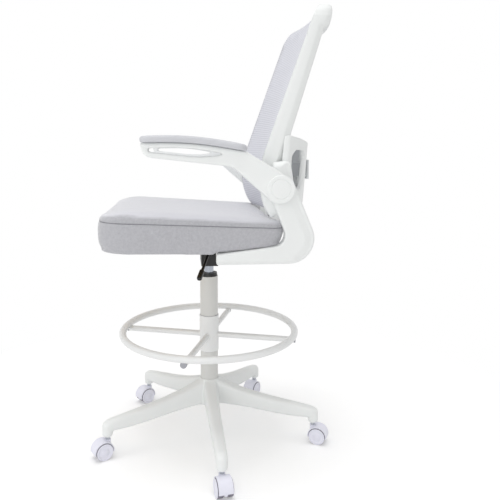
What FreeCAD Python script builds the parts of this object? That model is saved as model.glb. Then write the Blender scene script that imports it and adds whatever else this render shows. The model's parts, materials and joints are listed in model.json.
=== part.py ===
"""Mesh drafting chair with flip-up arms, foot ring and a five-star caster base.

Millimetres, +Z up, the sitter faces -Y, and +X is the sitter's left.  The origin lies on the floor
under the lift column.  Pieces above the lift are drawn from the underside of the seat, SEAT_LEVEL.
"""

import FreeCAD, Part
import math
import os
import re

import Sketcher
from FreeCAD import Placement, Rotation, Vector

SIDES = {"left": 1, "right": -1}
CASTERS = (1, 2, 3, 4, 5)
WHEELS = {"a": 1, "b": -1}
TOUCH = 0.01

# Driving dimensions: alias, value, meaning.
SIZES = (
    ("running_fit", 0.05, "radial gap of a shaft that turns or slides in its bore"),
    ("seat_gap", 0.3, "gap between curved faces that only rest against each other"),
    # Star base
    ("base_turn", 3.0, "turn of the base about the column, degrees"),
    ("foot_circle", 300.0, "radius of the circle of caster stems"),
    ("hub_top", 171.0, "top of the base hub above the floor"),
    ("hub_bottom", 94.0, "underside of the base hub"),
    ("hub_wall", 9.0, "wall of the base hub at the arms"),
    ("hub_rim_wall", 2.5, "wall of the base hub at its top"),
    ("arm_root_height", 71.0, "height of a base arm where it leaves the hub"),
    ("arm_tip_height", 29.0, "height of a base arm at its tip"),
    ("arm_root_width", 38.0, "width of a base arm at the hub"),
    ("arm_tip_width", 29.0, "width of a base arm at its tip"),
    ("arm_tip_bottom", 72.5, "underside of a base arm at its tip"),
    ("arm_round", 11.0, "corner radius of a base arm's section"),
    ("hub_shoulder", 30.0, "depth of the hub's shoulder below its top"),
    ("hub_shoulder_round", 20.0, "rounding of the hub's shoulder"),
    ("hub_collar", 2.5, "height of the plain collar at the top of the hub"),
    ("hub_collar_round", 10.0, "rounding under the hub's collar"),
    ("arm_drop", 5.0, "depth of an arm's top below the hub's top"),
    ("arm_sink", 3.5, "distance from the column to an arm's inner end"),
    ("arm_arch", 6.0, "rise of an arm's underside a third of the way out"),
    ("arm_flare", 3.0, "change of an arm's width towards its ends"),
    ("arm_knee", 108.0, "distance from the column to a base arm's upper bend"),
    ("arm_knee_rise", 37.0, "height of that bend over the arm's tip"),
    ("arm_ankle", 210.0, "distance from the column to a base arm's lower bend"),
    ("arm_ankle_rise", 16.0, "height of that bend over the arm's tip"),
    ("socket_crown", 12.0, "rounding of a caster socket's outer top edge"),
    ("socket_radius", 14.5, "radius of a caster socket boss"),
    ("socket_bottom", 57.5, "underside of a caster socket boss"),
    ("socket_depth", 32.0, "depth of the stem hole in a caster socket"),
    ("socket_edge", 5.0, "rounding of a caster socket's lower edge"),
    ("stem_clear", 2.0, "room above a caster stem in its socket"),
    # Casters
    ("wheel_radius", 23.0, "radius of a caster wheel"),
    ("wheel_width", 17.0, "width of one caster wheel"),
    ("caster_trail", 15.0, "distance from the stem to the axle"),
    ("web_width", 7.0, "thickness of the hood's middle web"),
    ("hood_gap", 1.2, "gap between the wheel tread and the hood"),
    ("hood_wall", 2.6, "wall of the caster hood"),
    ("stem_radius", 5.5, "radius of a caster stem"),
    ("stem_collar", 7.0, "radius of the collar on a caster stem"),
    ("axle_radius", 3.0, "radius of a caster axle"),
    ("axle_cover", 4.0, "thickness of a wheel's cover over the axle end"),
    ("stem_collar_height", 3.0, "height of the collar on a caster stem"),
    ("stem_root", 3.0, "depth of the stem below the hood's top"),
    ("wheel_gap", 0.4, "gap between a wheel and the hood's web"),
    ("hood_set_back", 3.0, "distance of the hood's edge from a wheel's outer face"),
    ("hood_skirt", 4.0, "depth of the hood below the axle"),
    ("web_skirt", 9.0, "depth of the hood's web below the axle"),
    ("neck_wall", 3.0, "wall of the hood round the stem"),
    ("neck_gap", 8.0, "gap between the hood's neck and the caster socket"),
    ("tread_round", 2.5, "rounding of a wheel's tread"),
    ("wheel_rim", 4.0, "width of the rim on a wheel's outer face"),
    ("wheel_dish", 1.2, "depth of the dish in a wheel's outer face"),
    ("wheel_boss", 9.0, "radius of the boss on a wheel's outer face"),
    ("heading_1", 8.0, "direction of trail of caster 1 from the arm, degrees"),
    ("heading_2", -11.0, "direction of trail of caster 2 from the arm, degrees"),
    ("heading_3", 175.0, "direction of trail of caster 3 from the arm, degrees"),
    ("heading_4", 87.0, "direction of trail of caster 4 from the arm, degrees"),
    ("heading_5", 8.0, "direction of trail of caster 5 from the arm, degrees"),
    # Lift column
    ("column_radius", 25.3, "outside radius of the column tube"),
    ("column_wall", 2.0, "wall of the column tube"),
    ("column_taper", 1.2, "loss of radius along the taper held in the hub"),
    ("column_floor", 5.0, "thickness of the column's end plate"),
    ("column_show", 297.0, "length of the column above the hub"),
    ("bush_lip", 10.0, "height of the bush that shows above the column"),
    ("bush_length", 80.0, "length of the bush inside the column"),
    ("cylinder_radius", 13.5, "outside radius of the gas cylinder"),
    ("cylinder_wall", 2.5, "wall of the gas cylinder"),
    ("cylinder_show", 22.0, "length of the gas cylinder that shows at the lowest setting"),
    ("cylinder_foot", 40.0, "height of the cylinder's lower end over the column's end plate"),
    ("cylinder_neck", 0.9, "loss of radius along the cylinder's top taper"),
    ("gland_height", 12.0, "height of the seal at the cylinder's lower end"),
    ("rod_radius", 5.0, "radius of the piston rod"),
    ("rod_hole_gap", 1.0, "radial gap of the piston rod in the column's end plate"),
    ("rod_flange", 3.0, "reach of the flange on the piston rod"),
    ("rod_flange_height", 5.0, "height of the flange on the piston rod"),
    ("turned_edge", 1.0, "rounding of the gas lift's turned edges"),
    ("bush_step", 1.0, "step from the column's edge to the bush's lip"),
    ("bush_taper", 1.5, "loss of radius along the bush's lip"),
    ("button_room", 4.0, "depth of the button's bore past the button's lower end"),
    ("rod_length", 315.0, "length of the piston rod above the end plate"),
    ("piston_height", 12.0, "height of the piston"),
    ("bearing_height", 6.0, "height of the thrust bearing under the rod"),
    ("bearing_radius", 12.0, "radius of the thrust bearing"),
    ("button_radius", 4.0, "radius of the release button"),
    ("button_rise", 6.0, "height of the release button over the cylinder"),
    ("button_length", 28.0, "length of the release button"),
    # Foot ring
    ("ring_radius", 245.0, "radius of the foot ring at the middle of its tube"),
    ("ring_tube", 9.6, "radius of the foot ring tube"),
    ("ring_height", 311.0, "height of the foot ring over the floor"),
    ("ring_turn", -17.5, "turn of the first spoke from +X, degrees"),
    ("spoke_radius", 8.0, "radius of a spoke"),
    ("spoke_drop", 14.0, "drop of the spokes below the ring"),
    ("spoke_overhang", 0.0, "length of a spoke past the middle of the ring tube"),
    ("plug_length", 4.0, "thickness of the plug in a spoke's end"),
    ("plug_lip", 0.6, "lip of a plug past its spoke"),
    ("collar_height", 103.0, "height of the foot ring's collar"),
    ("collar_drop", 8.0, "depth of the collar's middle below the ring"),
    ("collar_wall", 1.2, "wall of the foot ring's collar"),
    ("sleeve_wall", 0.8, "wall of the grip sleeve inside the collar"),
    ("sleeve_lip", 0.8, "length of the grip sleeve past each end of the collar"),
    # Seat mechanism
    ("housing_height", 75.0, "height from the housing's lower lip to the seat"),
    ("housing_width", 110.0, "width of the housing, side to side"),
    ("housing_depth", 46.0, "depth of the housing, front to back"),
    ("housing_lip", 6.0, "height of the socket below the housing"),
    ("housing_wall", 3.0, "sheet thickness of the housing"),
    ("housing_taper", 42.0, "length of the taper socket"),
    ("socket_wall", 7.0, "wall of the taper socket"),
    ("lever_slot_gap", 3.0, "room round the lever in the housing's side"),
    ("mount_plate_width", 220.0, "width of the plate under the seat"),
    ("mount_plate_depth", 170.0, "depth of the plate under the seat"),
    ("mount_bolt_x", 92.0, "place of the seat bolts across the plate"),
    ("mount_bolt_y", 68.0, "place of the seat bolts along the plate"),
    ("bolt_radius", 4.0, "radius of the frame bolts"),
    ("bolt_cover", 2.0, "wood left over the end of a seat bolt"),
    ("bolt_head", 7.0, "radius of a bolt head"),
    ("bolt_head_height", 5.0, "height of a bolt head"),
    ("lever_radius", 4.0, "radius of the lift lever"),
    ("lever_reach", 150.0, "reach of the lift lever from the column"),
    ("lever_drop", 48.0, "drop of the lift lever along its reach"),
    ("lever_sweep", 28.0, "distance that the lever's end lies ahead of its hinge"),
    ("lever_bend", 40.0, "radius of the lever's bend"),
    ("lever_straight", 8.0, "length of the lever's straight part outside the housing"),
    ("lever_pin_x", 40.0, "place of the lever's hinge pin"),
    ("lever_pin_radius", 2.5, "radius of the lever's hinge pin"),
    ("grip_length", 38.0, "length of the lever grip"),
    ("grip_width", 13.0, "width of the lever grip"),
    ("grip_thickness", 11.0, "thickness of the lever grip"),
    ("grip_corner", 6.0, "corner radius of the lever grip"),
    ("grip_edge", 4.0, "rounding of the lever grip's edges"),
    ("grip_socket", 18.0, "depth of the hole for the lever in its grip"),
    # Seat
    ("seat_half_width", 245.0, "half the width of the seat"),
    ("seat_front", 282.0, "reach of the seat ahead of the column"),
    ("seat_rear", 162.0, "reach of the seat behind the column"),
    ("seat_seam", 66.0, "height of the seam over the seat's underside"),
    ("seat_waist", 36.0, "height of the drawn-in sides over the seat's underside"),
    ("seat_crown", 94.0, "height of the crown over the seat's underside"),
    ("seat_corner", 60.0, "radius of the seat's front corners in plan"),
    ("seat_rear_corner", 32.0, "radius of the seat's rear corners in plan"),
    ("seat_draw_in", 4.0, "depth that the seat's sides are drawn in"),
    ("seat_hem", 18.0, "height of the rounded lower edge of the seat"),
    ("seat_hem_reach", 20.0, "reach of the rounded lower edge of the seat"),
    ("seat_crown_reach", 80.0, "distance from the seam to the flat of the crown"),
    ("seat_rear_reach", 30.0, "distance that the seat's underside ends short of its rear"),
    ("seat_relief", 1.0, "gap between the seat's rear end and the brackets' inner curve"),
    ("seam_slope", 2.4, "fall of the seam to the rear, degrees"),
    ("seat_slope", 5.2, "fall of the seat's top to the rear, degrees"),
    ("board_thickness", 12.0, "thickness of the seat board"),
    ("board_half_width", 205.0, "half the width of the seat board"),
    ("board_front", 235.0, "reach of the seat board ahead of the column"),
    ("board_rear", 94.0, "reach of the seat board behind the column"),
    ("board_corner", 40.0, "corner radius of the seat board"),
    # Back brackets
    ("bracket_thickness", 30.0, "thickness of a back bracket"),
    ("bracket_set_in", 1.0, "distance of a bracket's outer face inside the seat's side"),
    ("bracket_tip", 8.0, "place of the bracket's front tip behind the column"),
    ("bracket_depth", 30.0, "depth of a bracket under the seat"),
    ("bracket_tip_drop", 3.0, "depth of the bracket's tip below the seat's underside"),
    ("bracket_shoulder", 52.0, "depth of the bend in the bracket's rear edge below its head"),
    ("bracket_shoulder_reach", 8.0, "reach of that bend behind the head"),
    ("bracket_bend", 40.0, "radius of the bends in the bracket's limb"),
    ("bracket_head_round", 14.0, "rounding of the head's rear corner"),
    ("bracket_head_fall", 6.0, "fall of the head's top to its front"),
    ("bracket_heel", 282.0, "reach of the bracket's heel before it is rounded"),
    ("bracket_heel_radius", 62.0, "outer radius of the bracket's heel"),
    ("bracket_throat", 187.0, "reach of the bracket's inner corner"),
    ("bracket_throat_rise", 19.5, "rise of the bracket's inner corner over the seat's underside"),
    ("bracket_throat_radius", 28.0, "inner radius of the bracket"),
    ("bracket_head", 226.0, "height of the bracket's head over the seat's underside"),
    ("bracket_head_front", 146.0, "front of the bracket's head"),
    ("bracket_head_rear", 189.0, "rear of the bracket's head"),
    ("bracket_neck", 125.0, "height where the bracket's front edge turns"),
    ("bracket_bevel", 11.0, "bevel along the bracket's outer rear edge"),
    ("tab_reach", 62.0, "reach of the bracket's foot under the seat board"),
    ("tab_length", 74.0, "length of the bracket's foot"),
    ("tab_thickness", 10.0, "thickness of the bracket's foot"),
    # Back frame and mesh
    ("back_top", 611.0, "top of the back over the seat's underside"),
    ("back_lumbar_front", 116.9, "reach of the front of the lumbar curve"),
    ("back_recline", 19.6, "recline of the back, degrees"),
    ("back_lumbar", 177.0, "height of the lumbar curve's middle over the seat's underside"),
    ("back_lumbar_radius", 195.0, "radius of the lumbar curve"),
    ("back_bottom", 80.5, "lower end of the back over the seat's underside"),
    ("back_depth", 46.0, "depth of the frame at the lumbar curve"),
    ("back_top_depth", 29.0, "depth of the frame at its top"),
    ("back_bow", 30.0, "depth of the back's hollow between its uprights"),
    ("back_post", 30.0, "width of an upright"),
    ("back_rail", 44.0, "height of the top and bottom rails"),
    ("back_corner", 46.0, "corner radius of the back"),
    ("back_window_corner", 23.0, "corner radius of the back frame's window"),
    ("back_trim", 20.0, "distance below the back at which its corner rounding ends"),
    ("back_bevel", 12.0, "bevel along the back frame's outer rear edge"),
    ("mesh_thickness", 2.0, "thickness of the mesh panel"),
    ("mesh_inset", 5.0, "distance of the mesh panel's edge from the frame's edge"),
    # Yoke and lumbar support
    ("yoke_reach", 276.0, "reach of the yoke's rear face"),
    ("yoke_radius", 312.0, "outer radius of the yoke in plan"),
    ("yoke_wall", 12.0, "wall of the yoke"),
    ("yoke_bottom", 104.0, "lower edge of the yoke over the seat's underside"),
    ("yoke_height", 176.0, "height of the yoke"),
    ("yoke_lean", 4.5, "lean of the yoke, degrees"),
    ("yoke_dip", 18.0, "dip of the yoke's top edge at its middle"),
    ("yoke_dip_radius", 240.0, "rounding of that dip"),
    ("yoke_middle", 91.5, "height of the windows' middle over the yoke's lower edge"),
    ("yoke_room", 50.0, "length of the window cutter past the yoke"),
    ("yoke_window_width", 82.0, "width of a window in the yoke"),
    ("yoke_window_height", 100.0, "height of a window in the yoke"),
    ("yoke_window_x", 158.0, "middle of a window in the yoke"),
    ("yoke_slot_width", 30.0, "width of the lumbar slot in the yoke"),
    ("yoke_slot_end", 6.0, "room past the lumbar carrier at each end of the slot"),
    ("yoke_slot_corner", 4.0, "corner radius of the lumbar slot"),
    ("yoke_window_corner", 26.0, "corner radius of a window in the yoke"),
    ("lumbar_travel", 20.0, "travel of the lumbar support up and down"),
    ("lumbar_width", 230.0, "width of the lumbar pad"),
    ("lumbar_height", 84.0, "height of the lumbar pad"),
    ("lumbar_wall", 9.0, "thickness of the lumbar pad"),
    ("lumbar_clear", 20.0, "distance from the mesh's front curve to the lumbar pad"),
    ("lumbar_corner", 30.0, "corner radius of the lumbar pad"),
    ("slide_gap", 0.35, "gap at each side of the lumbar carrier in its slot"),
    ("plate_gap", 0.5, "gap between the yoke and the carrier's rear plate"),
    ("lumbar_neck", 38.0, "height of the lumbar carrier's neck"),
    ("lumbar_plate", 54.0, "width and height of the lumbar carrier's plates"),
    ("lumbar_plate_wall", 4.0, "thickness of the lumbar carrier's plates"),
    # Arms
    ("pivot_reach", 157.0, "place of the arm pivot behind the column"),
    ("pivot_rise", 159.0, "height of the arm pivot over the seat's underside"),
    ("pivot_radius", 6.0, "radius of the arm's shoulder bolt"),
    ("pivot_head", 11.0, "radius of the shoulder bolt's head"),
    ("pivot_head_height", 6.0, "height of the shoulder bolt's head"),
    ("arm_gap", 1.5, "gap between an arm and its bracket"),
    ("arm_thickness", 40.0, "thickness of an arm"),
    ("arm_hub", 34.0, "radius of an arm's hub"),
    ("arm_front", 170.0, "reach of an arm ahead of the column"),
    ("arm_top", 267.0, "top of an arm over the seat's underside, at its front"),
    ("arm_knuckle", 50.0, "distance ahead of the column where an arm's top bends down"),
    ("arm_knuckle_rise", 1.5, "rise of an arm's top to that bend"),
    ("arm_arc", 800.0, "radius of that bend"),
    ("arm_fall", 20.0, "fall of an arm's top to its rear end"),
    ("arm_rear", 77.0, "place of the rear end of an arm's top"),
    ("arm_belly_front", 234.0, "height of an arm's lower front corner"),
    ("arm_belly_set_back", 8.0, "distance of that corner behind the arm's front end"),
    ("arm_belly_round", 26.0, "rounding of an arm's lower front corner"),
    ("arm_belly_rear", 211.0, "height of an arm's lower rear corner"),
    ("arm_belly_reach", 44.0, "place of an arm's lower rear corner"),
    ("arm_elbow_round", 40.0, "rounding of an arm's lower rear corner"),
    ("arm_nose_round", 4.0, "rounding of an arm's upper corners"),
    ("arm_shoulder", 14.0, "distance from an arm's rear end to its neck"),
    ("arm_shoulder_drop", 9.0, "drop of an arm's neck below its rear end"),
    ("arm_shoulder_round", 16.0, "rounding of an arm's upper edge at its neck"),
    ("arm_neck_rise", 41.0, "height of an arm's neck over its pivot"),
    ("arm_neck_reach", 2.0, "distance of that neck ahead of the pivot"),
    ("arm_neck_round", 40.0, "rounding of an arm's upper edge over its hub"),
    ("arm_hub_round", 32.6, "rounding of an arm round its pivot"),
    ("arm_bar", 12.5, "height of the bar under an arm pad"),
    ("loop_front", 18.0, "distance from an arm's front end to its loop"),
    ("loop_depth", 8.5, "height of the loop at its front end"),
    ("loop_lean", 2.0, "lean of the loop's front end"),
    ("loop_low", 30.0, "distance ahead of the column of the loop's lowest point"),
    ("loop_drop", 34.0, "depth of that point below the arm's top"),
    ("loop_point_drop", 27.0, "depth of the loop's rear end below the arm's top"),
    ("loop_arc", 500.0, "radius of the loop's upper bend"),
    ("loop_rear", 30.0, "place of the loop's pointed rear end"),
    ("loop_round", 3.4, "rounding of the loop's front end"),
    ("loop_belly", 300.0, "rounding of the loop's lower edge"),
    ("loop_point", 1.5, "rounding of the loop's pointed rear end"),
    ("loop_edge", 1.8, "rounding of the loop's edges"),
    ("arm_edge", 6.0, "rounding of an arm's edges"),
    ("bolt_seat_gap", 1.0, "gap round the head of a shoulder bolt"),
    ("cap_radius", 33.0, "radius of a pivot cap"),
    ("cap_height", 5.0, "height of a pivot cap"),
    ("cap_ring", 23.0, "radius of the ring groove in a pivot cap"),
    ("cap_bevel", 1.5, "bevel of a pivot cap's rim"),
    ("cap_groove", 1.2, "depth of the ring groove in a pivot cap"),
    ("cap_crown", 0.8, "rise of a pivot cap's middle"),
    ("pad_width", 62.0, "width of an arm pad"),
    ("pad_thickness", 14.0, "thickness of an arm pad"),
    ("pad_corner", 24.0, "corner radius of an arm pad in plan"),
    ("pad_edge", 5.0, "rounding of an arm pad's upper edge"),
    ("pad_foot", 2.0, "rounding of an arm pad's lower edge"),
)

# Places worked out from the driving dimensions.
HUB_RADIUS = "(column_radius + hub_wall)"
HUB_RIM = "(column_radius + hub_rim_wall)"
COLUMN_TOP = "(hub_top + column_show)"
BUSH_TOP = f"({COLUMN_TOP} + bush_lip)"
SOCKET_LOW = f"({BUSH_TOP} + cylinder_show)"
SEAT_LEVEL = f"({SOCKET_LOW} + housing_height)"
CYLINDER_TOP = f"({SOCKET_LOW} + housing_taper)"
COLUMN_PLATE = "(hub_bottom + column_floor)"
CYLINDER_LOW = f"({COLUMN_PLATE} + cylinder_foot)"
BRACKET_OUT = "(seat_half_width - bracket_set_in)"
BRACKET_IN = f"({BRACKET_OUT} - bracket_thickness)"
ARM_IN = f"({BRACKET_OUT} + arm_gap)"
ARM_OUT = f"({ARM_IN} + arm_thickness)"
TREAD = "(wheel_radius + hood_gap)"
HOOD = f"({TREAD} + hood_wall)"
COLLAR_OUT = "(column_radius + running_fit + sleeve_wall + collar_wall)"
SPOKE_END = "(ring_radius + spoke_overhang)"
BOLT_LENGTH = "(board_thickness - bolt_cover)"
YOKE_MIDDLE = "(yoke_bottom + yoke_middle)"

doc = FreeCAD.newDocument("mesh_drafting_chair")
sheet = doc.addObject("Spreadsheet::Sheet", "Sizes")
for row, (alias, number, meaning) in enumerate(SIZES, start=1):
    sheet.set(f"A{row}", alias)
    sheet.set(f"B{row}", str(number))
    sheet.set(f"C{row}", meaning)
    sheet.setAlias(f"B{row}", alias)
doc.recompute()

ALIASES = {alias for alias, number, meaning in SIZES}
pieces = []


def cells(formula):
    """Return a formula with every driving dimension named as a cell of the sheet."""
    def name(match):
        word = match.group(0)
        return f"Sizes.{word}" if word in ALIASES else word
    return re.sub(r"[a-z][a-z_0-9]*", name, str(formula))


def value(formula):
    """Return the present value of a formula."""
    result = sheet.evalExpression(cells(formula))
    return float(getattr(result, "Value", result))


def bind(item, prop, formula):
    """Tie a property of an object to a formula of driving dimensions."""
    item.setExpression(prop, cells(formula))


def keep(item, label, place=None):
    """Register a finished sub-part under its own name."""
    item.Label = label
    if place is not None:
        item.Placement = place
    pieces.append(item)
    return item


def at_seat(item):
    """Lift an object that is drawn from the underside of the seat to its real height."""
    bind(item, "Placement.Base.z", SEAT_LEVEL)
    return item


def new_body(name):
    """Start a body for one sub-part."""
    return doc.addObject("PartDesign::Body", name)


def sketch_on(body, role, offset="0"):
    """Add a sketch on one of a body's origin planes, moved along its normal."""
    plane = next(part for part in body.Origin.OriginFeatures if part.Role == role)
    sketch = body.newObject("Sketcher::SketchObject", f"{body.Name}_sketch")
    sketch.AttachmentSupport = [(plane, "")]
    sketch.MapMode = "FlatFace"
    bind(sketch, "AttachmentOffset.Base.z", offset)
    return sketch


class Rules:
    """Constraints of one sketch, added together so that the drawn shape stays as it was drawn."""

    def __init__(self, sketch):
        self.sketch = sketch
        self.constraints = []
        self.formulas = {}

    def add(self, *terms, formula=None):
        """Note one constraint, and the formula of its size if it has one."""
        if formula is not None:
            self.formulas[len(self.constraints)] = formula
            terms += (value(formula),)
        self.constraints.append(Sketcher.Constraint(*terms))

    def place(self, geometry, position, across, up):
        """Fix a point at formulas for its two coordinates."""
        self.add("DistanceX", -1, 1, geometry, position, formula=across)
        self.add("DistanceY", -1, 1, geometry, position, formula=up)

    def apply(self):
        """Give the noted constraints to the sketch and tie their sizes to the sheet."""
        first = len(self.sketch.Constraints)
        self.sketch.addConstraint(self.constraints)
        for index, formula in self.formulas.items():
            self.sketch.setExpression(f"Constraints[{first + index}]", cells(formula))


def draw_circle(sketch, across, up, radius):
    """Draw a circle whose centre and radius are formulas."""
    centre = Vector(value(across), value(up), 0)
    circle = sketch.addGeometry(Part.Circle(centre, Vector(0, 0, 1), value(radius)), False)
    rules = Rules(sketch)
    rules.place(circle, 3, across, up)
    rules.add("Radius", circle, formula=radius)
    rules.apply()


def draw_axis(sketch, across, low, high):
    """Draw an upright construction line to turn an outline about."""
    ends = [Vector(value(across), value(up), 0) for up in (low, high)]
    line = sketch.addGeometry(Part.LineSegment(*ends), True)
    rules = Rules(sketch)
    rules.place(line, 1, across, low)
    rules.place(line, 2, across, high)
    rules.apply()


def round_corner(before, corner, after, radius):
    """Return start, middle and end of the arc that rounds one corner of an outline."""
    to_before = (before - corner).normalize()
    to_after = (after - corner).normalize()
    half = to_before.getAngle(to_after) / 2
    middle = (to_before + to_after).normalize()
    centre = corner + middle * (radius / math.sin(half))
    setback = radius / math.tan(half)
    return corner + to_before * setback, centre - middle * radius, corner + to_after * setback


def draw_outline(sketch, corners):
    """Draw a closed outline through corners, each (across, up) or (across, up, radius)."""
    points = [Vector(value(corner[0]), value(corner[1]), 0) for corner in corners]
    count = len(points)
    starts = list(points)
    ends = list(points)
    arcs = {}
    for index, corner in enumerate(corners):
        if len(corner) == 3:
            arc = round_corner(points[index - 1], points[index], points[(index + 1) % count],
                               value(corner[2]))
            ends[index], starts[index] = arc[0], arc[2]
            arcs[index] = arc
    lines = [sketch.addGeometry(Part.LineSegment(starts[i], ends[(i + 1) % count]), False)
             for i in range(count)]
    rules = Rules(sketch)
    for index, corner in enumerate(corners):
        line_in = lines[index - 1]
        line_out = lines[index]
        if index not in arcs:
            rules.add("Coincident", line_in, 2, line_out, 1)
            rules.place(line_out, 1, corner[0], corner[1])
            continue
        begin, middle, finish = arcs[index]
        left_turn = (points[index] - begin).cross(finish - points[index]).z > 0
        first, last = (1, 2) if left_turn else (2, 1)
        curve = Part.Arc(begin, middle, finish) if left_turn else Part.Arc(finish, middle, begin)
        arc = sketch.addGeometry(curve, False)
        point = sketch.addGeometry(Part.Point(points[index]), True)
        rules.place(point, 1, corner[0], corner[1])
        rules.add("PointOnObject", point, 1, line_in)
        rules.add("PointOnObject", point, 1, line_out)
        rules.add("Radius", arc, formula=corner[2])
        rules.add("Tangent", line_in, 2, arc, first)
        rules.add("Tangent", arc, last, line_out, 1)
    rules.apply()


def pad(body, sketch, length, symmetric=False):
    """Thicken a sketch into the body."""
    feature = body.newObject("PartDesign::Pad", f"{body.Name}_pad")
    feature.Profile = sketch
    feature.SideType = "Symmetric" if symmetric else "One side"
    bind(feature, "Length", length)
    return feature


def pocket(body, sketch, length, symmetric=False, against=False):
    """Cut a sketch out of the body and make sure that it took material away."""
    doc.recompute()
    before = body.Shape.Volume
    feature = body.newObject("PartDesign::Pocket", f"{body.Name}_pocket")
    feature.Profile = sketch
    feature.SideType = "Symmetric" if symmetric else "One side"
    feature.Reversed = against
    bind(feature, "Length", length)
    doc.recompute()
    if body.Shape.Volume >= before - 1e-6:
        raise ValueError(f"a pocket in {body.Name} cuts nothing")
    return feature


def revolve(body, sketch, axis="V_Axis"):
    """Turn a sketch once about its own upright axis or about a construction line."""
    feature = body.newObject("PartDesign::Revolution", f"{body.Name}_turn")
    feature.Profile = sketch
    feature.ReferenceAxis = (sketch, [axis])
    feature.Angle = 360
    return feature


def loft(body, sketches, ruled=False):
    """Join sketches into one solid, with smooth walls or with straight bands between them."""
    feature = body.newObject("PartDesign::AdditiveLoft", f"{body.Name}_loft")
    feature.Profile = sketches[0]
    feature.Sections = sketches[1:]
    feature.Ruled = ruled
    return feature


def polar(body, originals, count):
    """Repeat features evenly about the upright axis."""
    axis = next(part for part in body.Origin.OriginFeatures if part.Role == "Z_Axis")
    feature = body.newObject("PartDesign::PolarPattern", f"{body.Name}_pattern")
    feature.Originals = originals
    feature.Axis = (axis, [""])
    feature.Angle = 360
    feature.Occurrences = count
    body.Tip = feature
    return feature


def dress(body, kind, size, wanted):
    """Round or bevel those edges of a body whose sample points all pass a test."""
    doc.recompute()
    base = body.Tip
    names = [f"Edge{number}" for number, edge in enumerate(base.Shape.Edges, start=1)
             if not edge.Degenerated and all(wanted(point) for point in edge.discretize(5))]
    feature = body.newObject(f"PartDesign::{kind}", f"{body.Name}_{kind.lower()}")
    feature.Base = (base, names)
    bind(feature, "Radius" if kind == "Fillet" else "Size", size)
    return feature


def turned_piece(label, corners, place=None):
    """Make a piece by turning one outline, (radius, height), about the upright axis."""
    body = new_body(label)
    sketch = sketch_on(body, "XZ_Plane")
    draw_outline(sketch, corners)
    revolve(body, sketch)
    return keep(body, label, place)


def cylinder(name, radius, height, base=Vector(), direction=Vector(0, 0, 1)):
    """Make a plain cylinder whose radius and height are formulas."""
    item = doc.addObject("Part::Cylinder", name)
    bind(item, "Radius", radius)
    bind(item, "Height", height)
    item.Placement = Placement(base, Rotation(Vector(0, 0, 1), direction))
    return item


def box(name, low, high):
    """Make a box between two corners whose coordinates are formulas."""
    item = doc.addObject("Part::Box", name)
    for size, axis, first, last in zip(("Length", "Width", "Height"), "xyz", low, high):
        bind(item, size, f"({last}) - ({first})")
        bind(item, f"Placement.Base.{axis}", first)
    return item


def cut(name, base, tool):
    """Take one object away from another."""
    item = doc.addObject("Part::Cut", name)
    item.Base = base
    item.Tool = tool
    return item


def fuse(name, parts):
    """Join objects into one."""
    item = doc.addObject("Part::MultiFuse", name)
    item.Shapes = parts
    return item


def common(name, parts):
    """Keep the space that objects share."""
    item = doc.addObject("Part::MultiCommon", name)
    item.Shapes = parts
    return item


def coded(label, shape, place=None):
    """Keep a shape that is worked out in code from the sheet."""
    item = doc.addObject("Part::Feature", label)
    item.Shape = shape
    return keep(item, label, place or Placement())


def rounded_block(half_width, half_depth, radius, middle=("0", "0")):
    """Return the corners of a rounded rectangle about a middle point."""
    x, y = middle
    return [(f"{x} - ({half_width})", f"{y} - ({half_depth})", radius),
            (f"{x} + ({half_width})", f"{y} - ({half_depth})", radius),
            (f"{x} + ({half_width})", f"{y} + ({half_depth})", radius),
            (f"{x} - ({half_width})", f"{y} + ({half_depth})", radius)]


def make_star_base():
    """Hub with a taper bore and five arms, each ending in a caster socket."""
    body = new_body("star_base")
    hub = sketch_on(body, "XZ_Plane")
    draw_outline(hub, [("column_radius - column_taper", "hub_bottom"), (HUB_RADIUS, "hub_bottom"),
                       (HUB_RADIUS, "hub_top - hub_shoulder", "hub_shoulder_round"),
                       (HUB_RIM, "hub_top - hub_collar", "hub_collar_round"),
                       (HUB_RIM, "hub_top"), ("column_radius", "hub_top")])
    revolve(body, hub)
    arm_top = "(hub_top - arm_drop)"
    root = "(column_radius + arm_sink)"
    tip_top = "(arm_tip_bottom + arm_tip_height)"
    stations = (
        (root, f"{arm_top} - arm_root_height", arm_top, "arm_root_width"),
        ("arm_knee", "(hub_bottom + arm_tip_bottom) / 2 + arm_arch", f"{tip_top} + arm_knee_rise",
         "arm_root_width - arm_flare"),
        ("arm_ankle", "arm_tip_bottom + arm_arch / 2", f"{tip_top} + arm_ankle_rise",
         "arm_tip_width + arm_flare"),
        ("foot_circle", "arm_tip_bottom", tip_top, "arm_tip_width"),
    )
    sections = []
    for reach, low, high, width in stations:
        sketch = sketch_on(body, "YZ_Plane", reach)
        middle = ("0", f"(({low}) + ({high})) / 2")
        half_height = f"(({high}) - ({low})) / 2"
        draw_outline(sketch, rounded_block(f"({width}) / 2", half_height, "arm_round", middle))
        sections.append(sketch)
    arm = loft(body, sections)
    foot = sketch_on(body, "XZ_Plane")
    rim = "foot_circle + socket_radius"
    boss_top = f"({tip_top} - socket_edge / 2)"
    draw_outline(foot, [("foot_circle", "socket_bottom"), (rim, "socket_bottom", "socket_edge"),
                        (rim, boss_top, "socket_crown"), ("foot_circle", boss_top)])
    draw_axis(foot, "foot_circle", "socket_bottom", tip_top)
    boss = revolve(body, foot, "Axis0")
    polar(body, [arm, boss], len(CASTERS))
    doc.recompute()
    hole = sketch_on(body, "XY_Plane", "socket_bottom")
    draw_circle(hole, "foot_circle", "0", "stem_radius")
    socket = pocket(body, hole, "socket_depth", against=True)
    polar(body, [socket], len(CASTERS))
    turn = Placement(Vector(), Rotation(Vector(0, 0, 1), value("base_turn")))
    return keep(body, "star_base", turn)


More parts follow.
